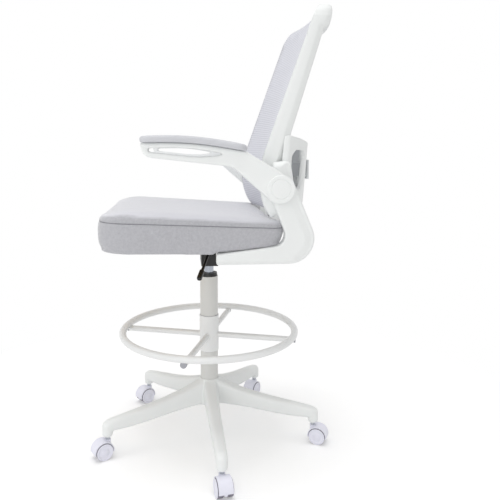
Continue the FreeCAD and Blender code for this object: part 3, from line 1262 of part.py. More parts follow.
def make_arm_pad(label, side):
    """One soft arm pad that follows its arm's bent top, with rounded corners and edges."""
    body = new_body(label)
    half_width = "(pad_width / 2)"
    half_length = "((arm_front + arm_rear) / 2)"
    across = f"({side} * ({ARM_IN} + {half_width}))"
    along = "((arm_rear - arm_front) / 2)"
    plan = sketch_on(body, "XY_Plane", "arm_top - arm_fall")
    draw_outline(plan, rounded_block(half_width, half_length, "pad_corner", (across, along)))
    pad(body, plan, "arm_fall + 2 * pad_thickness")
    near = f"({across} - {half_width})"
    floor = "arm_top - arm_fall - pad_thickness"
    roof = "arm_top + 3 * pad_thickness"
    for rise, limit in (("0", floor), ("pad_thickness", roof)):
        trim = sketch_on(body, "YZ_Plane", near)
        draw_outline(trim, arm_top_line(rise) + [("-arm_front", limit), ("arm_rear", limit)])
        pocket(body, trim, "pad_width", against=True)
    middle = Vector(value(across), value(along), 0)
    core_x = value(f"{half_width} - pad_corner")
    core_y = value(f"{half_length} - pad_corner")

    def on_rim(point):
        reach = math.hypot(max(abs(point.x - middle.x) - core_x, 0), max(abs(point.y - middle.y) - core_y, 0))
        return abs(reach - value("pad_corner")) < TOUCH

    def is_upper(point):
        share = (point.y - middle.y) / (2 * value(half_length)) + 1 / 2
        return point.z > value("arm_top") - value("arm_fall") * share + value("pad_thickness") - TOUCH

    dress(body, "Fillet", "pad_foot", lambda point: on_rim(point) and not is_upper(point))
    dress(body, "Fillet", "pad_edge", lambda point: on_rim(point) and is_upper(point))
    return at_seat(keep(body, label))


def write_pieces():
    """Check every object and every sub-part, then write one file for each sub-part."""
    doc.recompute()
    for item in doc.Objects:
        if "Invalid" in item.State or "Error" in item.State:
            raise ValueError(f"{item.Name} failed: {item.State}")
    for item in pieces:
        if item.Shape.isNull() or not item.Shape.isValid():
            raise ValueError(f"{item.Label} has no valid shape")
    os.makedirs("parts", exist_ok=True)
    for item in pieces:
        item.Shape.exportStep(f"parts/{item.Label}.step")
    print(f"{len(pieces)} sub-parts written")


make_star_base()
for number in CASTERS:
    make_caster(number)
make_column()
make_foot_ring()
make_mechanism()
make_seat()
make_bolts("mechanism_bolts", mount_bolts(), "housing_wall")
make_bolts("bracket_bolts", [(value(x), value(y)) for x, y in bracket_bolts()], "tab_thickness")
for name, side in SIDES.items():
    make_bracket(f"bracket_{name}", side)
make_back()
make_yoke()
make_lumbar()
make_pivot_bolts()
for name, side in SIDES.items():
    make_arm(f"arm_{name}", side)
    make_pivot_cap(f"pivot_cap_{name}", side)
    make_arm_pad(f"arm_pad_{name}", side)
write_pieces()
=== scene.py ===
"""Looks of a white mesh drafting chair: finishes, soft pieces, studio and camera around its fixed frame."""

import json
import logging
import math
from dataclasses import dataclass
from enum import Enum
from typing import Any, Callable, Iterable

import bmesh
import bpy
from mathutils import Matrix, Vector
from mathutils.kdtree import KDTree


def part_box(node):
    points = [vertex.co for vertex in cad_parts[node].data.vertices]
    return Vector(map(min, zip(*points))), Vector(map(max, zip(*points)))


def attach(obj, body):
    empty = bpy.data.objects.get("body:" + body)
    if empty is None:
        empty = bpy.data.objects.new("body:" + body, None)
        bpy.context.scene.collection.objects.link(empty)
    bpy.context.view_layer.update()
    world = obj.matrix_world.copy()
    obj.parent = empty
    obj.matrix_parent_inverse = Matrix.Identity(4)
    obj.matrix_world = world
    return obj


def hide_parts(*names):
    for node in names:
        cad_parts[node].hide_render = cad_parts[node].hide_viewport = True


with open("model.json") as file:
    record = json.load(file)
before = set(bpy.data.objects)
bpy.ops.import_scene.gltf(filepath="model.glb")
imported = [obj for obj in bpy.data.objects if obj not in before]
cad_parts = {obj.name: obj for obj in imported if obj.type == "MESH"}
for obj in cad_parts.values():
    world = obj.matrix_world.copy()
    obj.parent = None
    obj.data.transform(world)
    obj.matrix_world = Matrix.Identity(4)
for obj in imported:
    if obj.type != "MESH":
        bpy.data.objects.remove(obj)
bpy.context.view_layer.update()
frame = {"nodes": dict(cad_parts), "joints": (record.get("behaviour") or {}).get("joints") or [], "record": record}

LOG = logging.getLogger("drafting_chair")
MM = 0.001
SIDES = ("left", "right")
CASTERS = (1, 2, 3, 4, 5)
# Corners closer than the first are one corner, and a cut closer than the second to a corner runs through it.
JOIN_WITHIN = 0.002 * MM
CUT_WITHIN = 0.001 * MM
# A wave texture goes through one period in this many units at a scale of one.
WAVE_PERIOD = 2 * math.pi / 20
# A noise texture mostly stays between these values.
NOISE_LOW = 0.3
NOISE_HIGH = 0.7
# The two sets of threads cross, and each leans so that it shows on level and upright cloth.
THREAD_TURNS = ((0.0, math.radians(45), 0.0), (math.radians(45), 0.0, math.radians(90)))
# Faces that meet at more than this angle show an edge.
SHARP = math.radians(40)
# A padded piece rests on the faces that look down by more than this.
RESTING = -0.6
# The seat's seam lies in a plane: its height at the column, and how fast it falls to the rear.
SEAM_HEIGHT = 0.641
SEAM_SLOPE = math.tan(math.radians(2.4))


def linear(colour: str) -> tuple[float, float, float, float]:
    """Turn an sRGB hex colour into linear light.

    Args:
        colour: Six hex digits, with or without a leading hash.

    Returns:
        Red, green, blue and an alpha of one.
    """
    digits = colour.lstrip("#")
    parts = [int(digits[i:i + 2], 16) / 255 for i in (0, 2, 4)]
    light = [p / 12.92 if p <= 0.04045 else ((p + 0.055) / 1.055) ** 2.4 for p in parts]
    return light[0], light[1], light[2], 1.0


def add_node(tree: bpy.types.NodeTree, kind: str, settings: dict[str, Any] | None = None,
             inputs: dict[str, Any] | None = None) -> bpy.types.Node:
    """Add a shader node, set it up and link it.

    Args:
        tree: The node tree that takes the node.
        kind: The node's type name.
        settings: Properties to set on the node.
        inputs: For each input, a constant, or the output socket that feeds it.

    Returns:
        The new node.
    """
    node = tree.nodes.new(kind)
    for name, setting in (settings or {}).items():
        setattr(node, name, setting)
    for name, source in (inputs or {}).items():
        if isinstance(source, bpy.types.NodeSocket):
            tree.links.new(source, node.inputs[name])
        else:
            node.inputs[name].default_value = source
    return node


@dataclass(frozen=True)
class Finish:
    """A surface finish, made once as a material."""

    name: str
    colour: str
    second: str
    roughness: float

    def material(self) -> bpy.types.Material:
        """Return the finish's material, built on first use."""
        found = bpy.data.materials.get(self.name)
        if found:
            return found
        made = bpy.data.materials.new(self.name)
        made.use_nodes = True
        made.node_tree.nodes.clear()
        surface = self.shade(made.node_tree)
        add_node(made.node_tree, "ShaderNodeOutputMaterial", inputs={"Surface": surface})
        return made

    def shade(self, tree: bpy.types.NodeTree) -> bpy.types.NodeSocket:
        """Build the finish's nodes.

        Args:
            tree: The material's node tree.

        Returns:
            The shader socket for the surface.
        """
        raise NotImplementedError


@dataclass(frozen=True)
class Moulded(Finish):
    """Moulded or sprayed plastic and paint: a fine even grain, and a faint drift in colour and gloss."""

    grain_mm: float
    grain_depth_mm: float
    mottle_mm: float = 60.0
    gloss_drift: float = 0.05
    coat: float = 0.0
    coat_roughness: float = 0.2
    bump: float = 0.6

    def shade(self, tree: bpy.types.NodeTree) -> bpy.types.NodeSocket:
        """Build the grain, the drift in colour and the gloss.

        Args:
            tree: The material's node tree.

        Returns:
            The shader socket for the surface.
        """
        place = add_node(tree, "ShaderNodeTexCoord").outputs["Object"]
        grain = add_node(tree, "ShaderNodeTexNoise", inputs={
            "Vector": place, "Scale": 1 / (self.grain_mm * MM), "Detail": 2.0}).outputs["Fac"]
        mottle = add_node(tree, "ShaderNodeTexNoise", inputs={
            "Vector": place, "Scale": 1 / (self.mottle_mm * MM), "Detail": 3.0}).outputs["Fac"]
        gloss = add_node(tree, "ShaderNodeMapRange", inputs={
            "Value": mottle, "From Min": NOISE_LOW, "From Max": NOISE_HIGH,
            "To Min": self.roughness - self.gloss_drift, "To Max": self.roughness + self.gloss_drift})
        colour = add_node(tree, "ShaderNodeMixRGB", inputs={
            "Fac": mottle, "Color1": linear(self.colour), "Color2": linear(self.second)})
        bump = add_node(tree, "ShaderNodeBump", inputs={
            "Height": grain, "Distance": self.grain_depth_mm * MM, "Strength": self.bump})
        return add_node(tree, "ShaderNodeBsdfPrincipled", inputs={
            "Base Color": colour.outputs["Color"], "Roughness": gloss.outputs["Result"],
            "Normal": bump.outputs["Normal"], "Coat Weight": self.coat,
            "Coat Roughness": self.coat_roughness}).outputs["BSDF"]


@dataclass(frozen=True)
class Metal(Finish):
    """Bare or plated steel: fine turning marks across the axis, and a slight drift in gloss."""

    mark_mm: float
    mark_depth_mm: float
    waver: float = 1.5
    drift_mm: float = 20.0
    gloss_span: tuple[float, float] = (0.8, 1.25)
    bump: float = 0.5

    def shade(self, tree: bpy.types.NodeTree) -> bpy.types.NodeSocket:
        """Build the turning marks and the gloss.

        Args:
            tree: The material's node tree.

        Returns:
            The shader socket for the surface.
        """
        place = add_node(tree, "ShaderNodeTexCoord").outputs["Object"]
        marks = add_node(tree, "ShaderNodeTexWave", {"bands_direction": "Z"}, {
            "Vector": place, "Scale": WAVE_PERIOD / (self.mark_mm * MM), "Distortion": self.waver,
            "Detail": 2.0}).outputs["Fac"]
        drift = add_node(tree, "ShaderNodeTexNoise", inputs={
            "Vector": place, "Scale": 1 / (self.drift_mm * MM)}).outputs["Fac"]
        least, most = (self.roughness * share for share in self.gloss_span)
        gloss = add_node(tree, "ShaderNodeMapRange", inputs={
            "Value": marks, "To Min": least, "To Max": most})
        colour = add_node(tree, "ShaderNodeMixRGB", inputs={
            "Fac": drift, "Color1": linear(self.colour), "Color2": linear(self.second)})
        bump = add_node(tree, "ShaderNodeBump", inputs={
            "Height": marks, "Distance": self.mark_depth_mm * MM, "Strength": self.bump})
        return add_node(tree, "ShaderNodeBsdfPrincipled", inputs={
            "Base Color": colour.outputs["Color"], "Metallic": 1.0, "Roughness": gloss.outputs["Result"],
            "Normal": bump.outputs["Normal"]}).outputs["BSDF"]


@dataclass(frozen=True)
class Woven(Finish):
    """Close-woven upholstery: crossing threads, heathered colour, a painted highlight on the top and a soft sheen.
    """

    thread_mm: float
    thread_depth_mm: float
    heather_mm: float
    sheen: float
    top_highlight_colour: str
    waver: float = 0.6
    thread_share: float = 0.4
    heather_share: float = 0.6
    sheen_roughness: float = 0.4
    bump: float = 0.7
    # The painted highlight on the top: how far a face must look up, how much of the paler colour it takes, and how
    # far above the seam it starts.
    top_highlight_facing: tuple[float, float] = (0.45, 0.85)
    top_highlight_most: float = 0.85
    top_highlight_above_mm: tuple[float, float] = (3.0, 9.0)

    def shade(self, tree: bpy.types.NodeTree) -> bpy.types.NodeSocket:
        """Build the two thread directions, the heathering, the painted highlight on the top and the sheen.

        Args:
            tree: The material's node tree.

        Returns:
            The shader socket for the surface.
        """
        place = add_node(tree, "ShaderNodeTexCoord").outputs["Object"]
        scale = WAVE_PERIOD / (self.thread_mm * MM) * math.sqrt(2)
        threads = []
        for turn in THREAD_TURNS:
            turned = add_node(tree, "ShaderNodeMapping", inputs={"Vector": place, "Rotation": turn})
            threads.append(add_node(tree, "ShaderNodeTexWave", {"bands_direction": "X"}, {
                "Vector": turned.outputs["Vector"], "Scale": scale, "Distortion": self.waver,
                "Detail": 1.0}).outputs["Fac"])
        weave = add_node(tree, "ShaderNodeMath", {"operation": "MULTIPLY"}, {
            0: threads[0], 1: threads[1]}).outputs[0]
        heather = add_node(tree, "ShaderNodeTexNoise", inputs={
            "Vector": place, "Scale": 1 / (self.heather_mm * MM), "Detail": 4.0, "Roughness": 0.7})
        spread = add_node(tree, "ShaderNodeMapRange", inputs={
            "Value": heather.outputs["Fac"], "From Min": NOISE_LOW, "From Max": NOISE_HIGH,
            "To Min": 0.0, "To Max": self.heather_share})
        share = add_node(tree, "ShaderNodeMath", {"operation": "MULTIPLY_ADD"}, {
            0: weave, 1: self.thread_share, 2: spread.outputs["Result"]}).outputs[0]
        colour = add_node(tree, "ShaderNodeMixRGB", inputs={
            "Fac": share, "Color1": linear(self.second), "Color2": linear(self.colour)})
        # Upward faces above the seam are painted paler: a painted highlight that stands in for the light from
        # above.
        highlighted = add_node(tree, "ShaderNodeMixRGB", inputs={
            "Fac": self.painted_top_highlight(tree), "Color1": colour.outputs["Color"], "Color2": linear(self.top_highlight_colour)})
        bump = add_node(tree, "ShaderNodeBump", inputs={
            "Height": weave, "Distance": self.thread_depth_mm * MM, "Strength": self.bump})
        return add_node(tree, "ShaderNodeBsdfPrincipled", inputs={
            "Base Color": highlighted.outputs["Color"], "Roughness": self.roughness,
            "Normal": bump.outputs["Normal"], "Sheen Weight": self.sheen,
            "Sheen Roughness": self.sheen_roughness}).outputs["BSDF"]

    def painted_top_highlight(self, tree: bpy.types.NodeTree) -> bpy.types.NodeSocket:
        """Show how far the cloth faces up, above the seat's seam, where a paler colour is painted on as a
        highlight from the light above.

        Args:
            tree: The material's node tree.

        Returns:
            A socket from nothing on the sides to nearly one on the top.
        """
        coords = add_node(tree, "ShaderNodeTexCoord")
        facing = add_node(tree, "ShaderNodeVectorMath", {"operation": "DOT_PRODUCT"}, {
            0: coords.outputs["Normal"], 1: (0.0, 0.0, 1.0)})
        level, full = self.top_highlight_facing
        upward = add_node(tree, "ShaderNodeMapRange", inputs={
            "Value": facing.outputs["Value"], "From Min": level, "From Max": full,
            "To Min": 0.0, "To Max": self.top_highlight_most})
        height = add_node(tree, "ShaderNodeVectorMath", {"operation": "DOT_PRODUCT"}, {
            0: coords.outputs["Object"], 1: (0.0, SEAM_SLOPE, 1.0)})
        low, high = (SEAM_HEIGHT + rise * MM for rise in self.top_highlight_above_mm)
        above = add_node(tree, "ShaderNodeMapRange", inputs={
            "Value": height.outputs["Value"], "From Min": low, "From Max": high})
        return add_node(tree, "ShaderNodeMath", {"operation": "MULTIPLY"}, {
            0: upward.outputs["Result"], 1: above.outputs["Result"]}).outputs[0]


@dataclass(frozen=True)
class KnitMesh(Finish):
    """Stretched polyester mesh: raised rows across the back with rows of small holes between them."""

    row_mm: float
    hole_mm: float
    rib_depth_mm: float
    least_cover: float = 0.86
    hole_edge: tuple[float, float] = (0.2, 0.5)
    sheen: float = 0.2
    bump: float = 0.8

    def shade(self, tree: bpy.types.NodeTree) -> bpy.types.NodeSocket:
        """Build the rows and the small holes that let a little light through.

        Args:
            tree: The material's node tree.

        Returns:
            The shader socket for the surface.
        """
        place = add_node(tree, "ShaderNodeTexCoord").outputs["Object"]
        rows = add_node(tree, "ShaderNodeTexWave", {"bands_direction": "Z"}, {
            "Vector": place, "Scale": WAVE_PERIOD / (self.row_mm * MM)}).outputs["Fac"]
        ties = add_node(tree, "ShaderNodeTexWave", {"bands_direction": "X"}, {
            "Vector": place, "Scale": WAVE_PERIOD / (self.hole_mm * MM)}).outputs["Fac"]
        yarn = add_node(tree, "ShaderNodeMath", {"operation": "MAXIMUM"}, {0: rows, 1: ties})
        inner, outer = self.hole_edge
        cover = add_node(tree, "ShaderNodeMapRange", inputs={
            "Value": yarn.outputs[0], "From Min": inner, "From Max": outer,
            "To Min": self.least_cover, "To Max": 1.0})
        colour = add_node(tree, "ShaderNodeMixRGB", inputs={
            "Fac": rows, "Color1": linear(self.second), "Color2": linear(self.colour)})
        bump = add_node(tree, "ShaderNodeBump", inputs={
            "Height": rows, "Distance": self.rib_depth_mm * MM, "Strength": self.bump})
        return add_node(tree, "ShaderNodeBsdfPrincipled", inputs={
            "Base Color": colour.outputs["Color"], "Roughness": self.roughness,
            "Alpha": cover.outputs["Result"], "Normal": bump.outputs["Normal"],
            "Sheen Weight": self.sheen}).outputs["BSDF"]


@dataclass(frozen=True)
class Veneer(Finish):
    """Plywood: long wavering grain with fine pores."""

    grain_mm: float
    waver: float = 6.0
    pore_depth_mm: float = 0.1
    bump: float = 0.4

    def shade(self, tree: bpy.types.NodeTree) -> bpy.types.NodeSocket:
        """Build the grain along the board.

        Args:
            tree: The material's node tree.

        Returns:
            The shader socket for the surface.
        """
        place = add_node(tree, "ShaderNodeTexCoord").outputs["Object"]
        grain = add_node(tree, "ShaderNodeTexWave", {"bands_direction": "X"}, {
            "Vector": place, "Scale": WAVE_PERIOD / (self.grain_mm * MM), "Distortion": self.waver,
            "Detail": 3.0}).outputs["Fac"]
        colour = add_node(tree, "ShaderNodeMixRGB", inputs={
            "Fac": grain, "Color1": linear(self.colour), "Color2": linear(self.second)})
        bump = add_node(tree, "ShaderNodeBump", inputs={
            "Height": grain, "Distance": self.pore_depth_mm * MM, "Strength": self.bump})
        return add_node(tree, "ShaderNodeBsdfPrincipled", inputs={
            "Base Color": colour.outputs["Color"], "Roughness": self.roughness,
            "Normal": bump.outputs["Normal"]}).outputs["BSDF"]


class Palette(Enum):
    """The chair's finishes. Grain finer than a pixel is drawn about twice as coarse so that it shows."""

    # Glass-filled nylon from a spark-eroded mould: a white satin skin with a faint even grain.
    NYLON = Moulded("white_glass_filled_nylon", "F0F2F1", "ECEEED", 0.45, 1.4, 0.10)
    # Powder coat on steel tube: white, smoother than nylon, with a slight orange peel.
    POWDER = Moulded("white_powder_coated_steel", "ECEDEC", "E8E9E9", 0.36, 3.0, 0.06, coat=0.1)
    # Powder coat of the column: a warmer, duller white than the ring, painted darker as painted shade for the
    # shadow that the seat casts on the column.
    COLUMN_IN_PAINTED_SHADE = Moulded("powder_coated_steel_column_painted_shade", "D9D9D6", "D3D3D0", 0.36, 3.0, 0.06, coat=0.1)
    # Polypropylene caster shells: a cooler, slightly lilac white with a soft gloss.
    CASTER = Moulded("white_polypropylene_casters", "EEEEF9", "E8E8F4", 0.36, 1.2, 0.06)
    # Cast polyurethane treads: dull dark grey, so that they draw a line under the hoods.
    TREAD = Moulded("grey_cast_polyurethane_treads", "85828E", "7A7784", 0.6, 1.2, 0.08)
    # Pale grey polypropylene plugs and sleeve, with a dull moulded skin.
    GREY = Moulded("grey_moulded_polypropylene", "A9AAB0", "A2A3AA", 0.5, 1.2, 0.08)
    # Pale polypropylene lumbar support, close to the nylon but cooler.
    LUMBAR = Moulded("pale_grey_polypropylene_lumbar", "EAECED", "E4E6E8", 0.45, 1.2, 0.08)
    # Black acetal and nylon fittings with a dull moulded skin.
    BLACK = Moulded("black_moulded_acetal", "0D0D0E", "121214", 0.42, 1.2, 0.08)
    # Pressed steel under black enamel: dark, with a soft gloss.
    ENAMEL = Moulded("black_enamelled_pressed_steel", "0B0B0C", "101012", 0.42, 2.5, 0.08, coat=0.1)
    # Hard chromium over ground steel: mirror-bright, with faint grinding rings.
    CHROME = Metal("hard_chromed_ground_steel", "B4B8C0", "A2A7B0", 0.16, 1.2, 0.01)
    # Zinc-plated turned steel: bright but softer than chrome.
    STEEL = Metal("zinc_plated_turned_steel", "C9CCD0", "BFC2C6", 0.28, 0.8, 0.03)
    # Close-woven polyester upholstery: cool light grey, fine cross threads, a soft sheen, and a painted highlight,
    # a paler colour along the top for the light from above.
    # The threads are drawn three times as coarse as they are, so that they show.
    FABRIC = Woven("woven_polyester_upholstery", "C6C6CA", "AEAEB3", 0.85, 2.4, 0.4, 6.0, 0.9, "DCDCE2")
    # Skinned polyurethane foam: matt, rubbery lilac-grey with a very fine leather grain.
    FOAM = Moulded("skinned_polyurethane_foam", "CFD0D4", "C6C7CC", 0.55, 2.2, 0.25)
    # Knitted polyester mesh: pale lilac-grey rows, so close that little light comes through.
    # The rows are drawn twice as coarse as they are, so that they show.
    MESH = KnitMesh("stretched_knitted_polyester_mesh", "DADBE2", "CCCDD6", 0.7, 6.0, 4.0, 0.35)
    # Birch plywood, sawn and sanded.
    PLYWOOD = Veneer("sanded_birch_plywood", "D8B98A", "C6A371", 0.65, 9.0)
    # Bonded polyester sewing thread, darker than the cloth it draws in.
    THREAD = Moulded("bonded_polyester_thread", "8A8A8F", "7E7E84", 0.7, 0.8, 0.1)

    def material(self) -> bpy.types.Material:
        """Return the finish's material."""
        return self.value.material()


def clipped(value: float) -> float:
    """Return a value kept between nothing and one."""
    return min(max(value, 0), 1)


def seam_at(place: Vector) -> float:
    """Return the height of the seat's seam above or below a point."""
    return SEAM_HEIGHT - SEAM_SLOPE * place.y


def paint(finish: Palette, *nodes: str) -> None:
    """Give frame nodes a finish in place of their plain colour.

    Args:
        finish: The finish.
        nodes: The nodes' names.
    """
    for node in nodes:
        piece = frame["nodes"][node]
        if not piece.material_slots:
            piece.data.materials.append(None)
        for held in piece.material_slots:
            held.material = finish.material()
        LOG.info("%s: %s", node, finish.value.name)


def merged_copy(node: str) -> bmesh.types.BMesh:
    """Return a frame node's mesh as a new bmesh with its corners joined.

    Args:
        node: The node's name.

    Returns:
        The copy.
    """
    mesh = bmesh.new()
    mesh.from_mesh(frame["nodes"][node].data)
    bmesh.ops.remove_doubles(mesh, verts=mesh.verts, dist=JOIN_WITHIN)
    return mesh


def add_piece(name: str, mesh: bmesh.types.BMesh, body: str, finish: Palette, slot: str,
              replaced: Iterable[str] = ()) -> bpy.types.Object:
    """Make a finished piece of a bmesh and let it ride on a body.

    Args:
        name: The piece's name.
        mesh: Its shape, which is used up.
        body: The body that carries it.
        finish: Its finish.
        slot: The material slot that it belongs to. Not used.
        replaced: The frame nodes that it stands for.

    Returns:
        The piece.
    """
    data = bpy.data.meshes.new(name)
    mesh.to_mesh(data)
    mesh.free()
    for face in data.polygons:
        face.use_smooth = True
    data.set_sharp_from_angle(angle=SHARP)
    piece = bpy.data.objects.new(name, data)
    bpy.context.scene.collection.objects.link(piece)
    piece.data.materials.append(finish.material())
    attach(piece, body)
    if replaced:
        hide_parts(*replaced)
    LOG.info("%s: %d faces, %s", name, len(data.polygons), finish.value.name)
    return piece


def shaped_by(mesh: bmesh.types.BMesh, *steps: Callable[[bpy.types.Object], None]) -> bmesh.types.BMesh:
    """Pass a bmesh through modifiers on a spare object.

    Args:
        mesh: The shape, which is used up.
        steps: Calls that each add a modifier to the object.

    Returns:
        The shape with the modifiers applied.
    """
    data = bpy.data.meshes.new("spare")
    mesh.to_mesh(data)
    mesh.free()
    spare = bpy.data.objects.new("spare", data)
    bpy.context.scene.collection.objects.link(spare)
    for step in steps:
        step(spare)
    view = bpy.context.evaluated_depsgraph_get()
    done = bmesh.new()
    done.from_object(spare, view)
    bpy.data.objects.remove(spare)
    bpy.data.meshes.remove(data)
    return done


def carrier(node: str) -> str:
    """Return the name of the body that carries a frame node."""
    return next(body for body, held in frame["record"]["behaviour"]["bodies"].items() if node in held)


def add_moulding(node: str, finish: Palette, slot: str, cell_mm: float, rounds: int,
                 reshape: Callable[[bmesh.types.BMesh], None] | None = None) -> bpy.types.Object:
    """Replace a frame node by a copy with the soft edges of a moulding.

    Args:
        node: The node's name.
        finish: The moulding's finish.
        slot: The material slot that it belongs to.
        cell_mm: The size of the squares of its skin.
        rounds: The number of softening passes.
        reshape: A last change to its shape.

    Returns:
        The moulding.
    """
    skin = shaped_by(merged_copy(node), add_voxel_skin(cell_mm), add_relaxing(rounds))
    if reshape:
        skin.normal_update()
        reshape(skin)
    return add_piece(f"{node}_moulding", skin, carrier(node), finish, slot, [node])


def section_loop(mesh: bmesh.types.BMesh, place: Vector, normal: Vector) -> list[Vector]:
    """Cut a shape by a plane and return the longest loop of the cut.

    Args:
        mesh: The shape, left as it is.
        place: A point on the plane.
        normal: The plane's normal.

    Returns:
        The loop's points in order.
    """
    spare = mesh.copy()
    cut = bmesh.ops.bisect_plane(spare, geom=spare.verts[:] + spare.edges[:] + spare.faces[:],
                                 plane_co=place, plane_no=normal, dist=CUT_WITHIN)["geom_cut"]
    edges = dict.fromkeys(item for item in cut if isinstance(item, bmesh.types.BMEdge))
    loops = []
    while edges:
        edge, _ = edges.popitem()
        corner = edge.verts[1]
        loop = [edge.verts[0].co.copy(), corner.co.copy()]
        while True:
            following = next((other for other in corner.link_edges if other in edges), None)
            if following is None:
                break
            del edges[following]
            corner = following.other_vert(corner)
            loop.append(corner.co.copy())
        loops.append(loop)
    spare.free()
    return max(loops, key=len)


def tube_along(points: list[Vector], radius_mm: float) -> bmesh.types.BMesh:
    """Return a closed round cord along a loop of points.

    Args:
        points: The loop.
        radius_mm: The cord's radius.

    Returns:
        The cord.
    """
    line = bpy.data.curves.new("spare_line", "CURVE")
    line.dimensions = "3D"
    line.bevel_depth = radius_mm * MM
    line.bevel_resolution = 1
    spline = line.splines.new("POLY")
    spline.points.add(len(points) - 1)
    for knot, point in zip(spline.points, points):
        knot.co = (*point, 1.0)
    spline.use_cyclic_u = True
    spare = bpy.data.objects.new("spare_line", line)
    bpy.context.scene.collection.objects.link(spare)
    made = bpy.data.meshes.new_from_object(spare.evaluated_get(bpy.context.evaluated_depsgraph_get()))
    cord = bmesh.new()
    cord.from_mesh(made)
    bpy.data.meshes.remove(made)
    bpy.data.objects.remove(spare)
    bpy.data.curves.remove(line)
    return cord


def add_voxel_skin(size_mm: float) -> Callable[[bpy.types.Object], None]:
    """Return a step that rebuilds a closed shape in even squares.

    Args:
        size_mm: The squares' size.

    Returns:
        The step.
    """
    def step(spare: bpy.types.Object) -> None:
        """Add the skin.

        Args:
            spare: The object that takes the modifier.
        """
        skin = spare.modifiers.new("skin", "REMESH")
        skin.mode = "VOXEL"
        skin.voxel_size = size_mm * MM
    return step


def add_relaxing(rounds: int, share: float = 0.5) -> Callable[[bpy.types.Object], None]:
    """Return a step that softens edges.

    Args:
        rounds: The number of passes.
        share: How far a point moves in a pass.

    Returns:
        The step.
    """
    def step(spare: bpy.types.Object) -> None:
        """Add the softening.

        Args:
            spare: The object that takes the modifier.
        """
        soft = spare.modifiers.new("soft", "SMOOTH")
        soft.factor = share
        soft.iterations = rounds
    return step


def add_subdivision() -> Callable[[bpy.types.Object], None]:
    """Return a step that divides each face once and smooths the shape."""
    def step(spare: bpy.types.Object) -> None:
        """Add the division.

        Args:
            spare: The object that takes the modifier.
        """
        finer = spare.modifiers.new("finer", "SUBSURF")
        finer.levels = 1
        finer.render_levels = 1
    return step


def puffed(mesh: bmesh.types.BMesh, pressure: float, most_mm: float, frames: int = 20) -> bmesh.types.BMesh:
    """Let the cover of a padded shape swell over its filling, except where it rests.

    Args:
        mesh: The closed cover, which is used up.
        pressure: The filling's push on the cover.
        most_mm: The most that a point may move.
        frames: The number of simulation steps.

    Returns:
        The swollen cover.
    """
    mesh.normal_update()
    start = [(vert.co.copy(), vert.normal.z) for vert in mesh.verts]

    def step(spare: bpy.types.Object) -> None:
        """Add the cover as cloth and let it settle.

        Args:
            spare: The object that takes the modifier.
        """
        cloth = spare.modifiers.new("cover", "CLOTH")
        cloth.settings.use_pressure = True
        cloth.settings.uniform_pressure_force = pressure
        cloth.settings.effector_weights.gravity = 0
        cloth.point_cache.frame_start = 1
        cloth.point_cache.frame_end = frames
        for number in range(1, frames + 1):
            bpy.context.scene.frame_set(number)

    swollen = shaped_by(mesh, step)
    bpy.context.scene.frame_set(1)
    for vert, (old, up) in zip(swollen.verts, start):
        move = vert.co - old
        if up < RESTING:
            vert.co = old
        elif move.length > most_mm * MM:
            vert.co = old + move.normalized() * most_mm * MM
    return swollen


@dataclass
class RunningGear:
    """The star base with its five twin-wheel casters."""

    cell_mm: float = 2.5
    softening: int = 9
    # A wheel's face belongs to the disc when it looks along the axle by at least this.
    face_on: float = 0.5
    slot: str = "caster_plastic"

    def build(self) -> None:
        """Build the base and the wheels, and finish the casters."""
        add_moulding("star_base", Palette.NYLON, "white_nylon", self.cell_mm, self.softening)
        for number in CASTERS:
            paint(Palette.CASTER, f"caster_hood_{number}")
            paint(Palette.STEEL, f"caster_stem_{number}", f"caster_axle_{number}")
        for joint in frame["joints"]:
            if joint["name"].startswith("wheel_spin_"):
                self.build_wheel(joint["name"].removeprefix("wheel_spin_"), Vector(joint["axis"]))

    def build_wheel(self, tag: str, axis: Vector) -> None:
        """Build a wheel with a pale disc and a darker tread.

        Args:
            tag: The caster's number and the wheel's letter.
            axis: The wheel's axis.
        """
        mesh = merged_copy(f"caster_wheel_{tag}")
        mesh.normal_update()
        for face in mesh.faces:
            face.material_index = int(abs(face.normal.dot(axis)) < self.face_on)
        wheel = add_piece(f"caster_disc_{tag}", mesh, f"wheel_{tag}", Palette.CASTER, self.slot,
                          [f"caster_wheel_{tag}"])
        wheel.data.materials.append(Palette.TREAD.material())


class LiftColumn:
    """The column tube, the gas lift inside it and the foot ring on it."""

    def dress(self) -> None:
        """Finish the column, the gas lift and the foot ring."""
        # The column tube is painted darker than the ring: painted shade for the seat's shadow on it.
        paint(Palette.COLUMN_IN_PAINTED_SHADE, "column_tube")
        paint(Palette.POWDER, "foot_ring", "foot_ring_spokes", "foot_ring_collar")
        paint(Palette.BLACK, "column_bush")
        paint(Palette.GREY, "foot_ring_plugs", "foot_ring_sleeve")
        paint(Palette.CHROME, "gas_cylinder")
        paint(Palette.STEEL, "piston_rod", "thrust_bearing", "release_button")


class Mechanism:
    """The housing under the seat with its lift lever."""

    def dress(self) -> None:
        """Finish the housing, the lever and the bolts."""
        paint(Palette.ENAMEL, "mechanism_housing", "lift_lever")
        paint(Palette.BLACK, "lever_grip")
        paint(Palette.STEEL, "lever_pin", "mechanism_bolts", "bracket_bolts", "pivot_bolts")


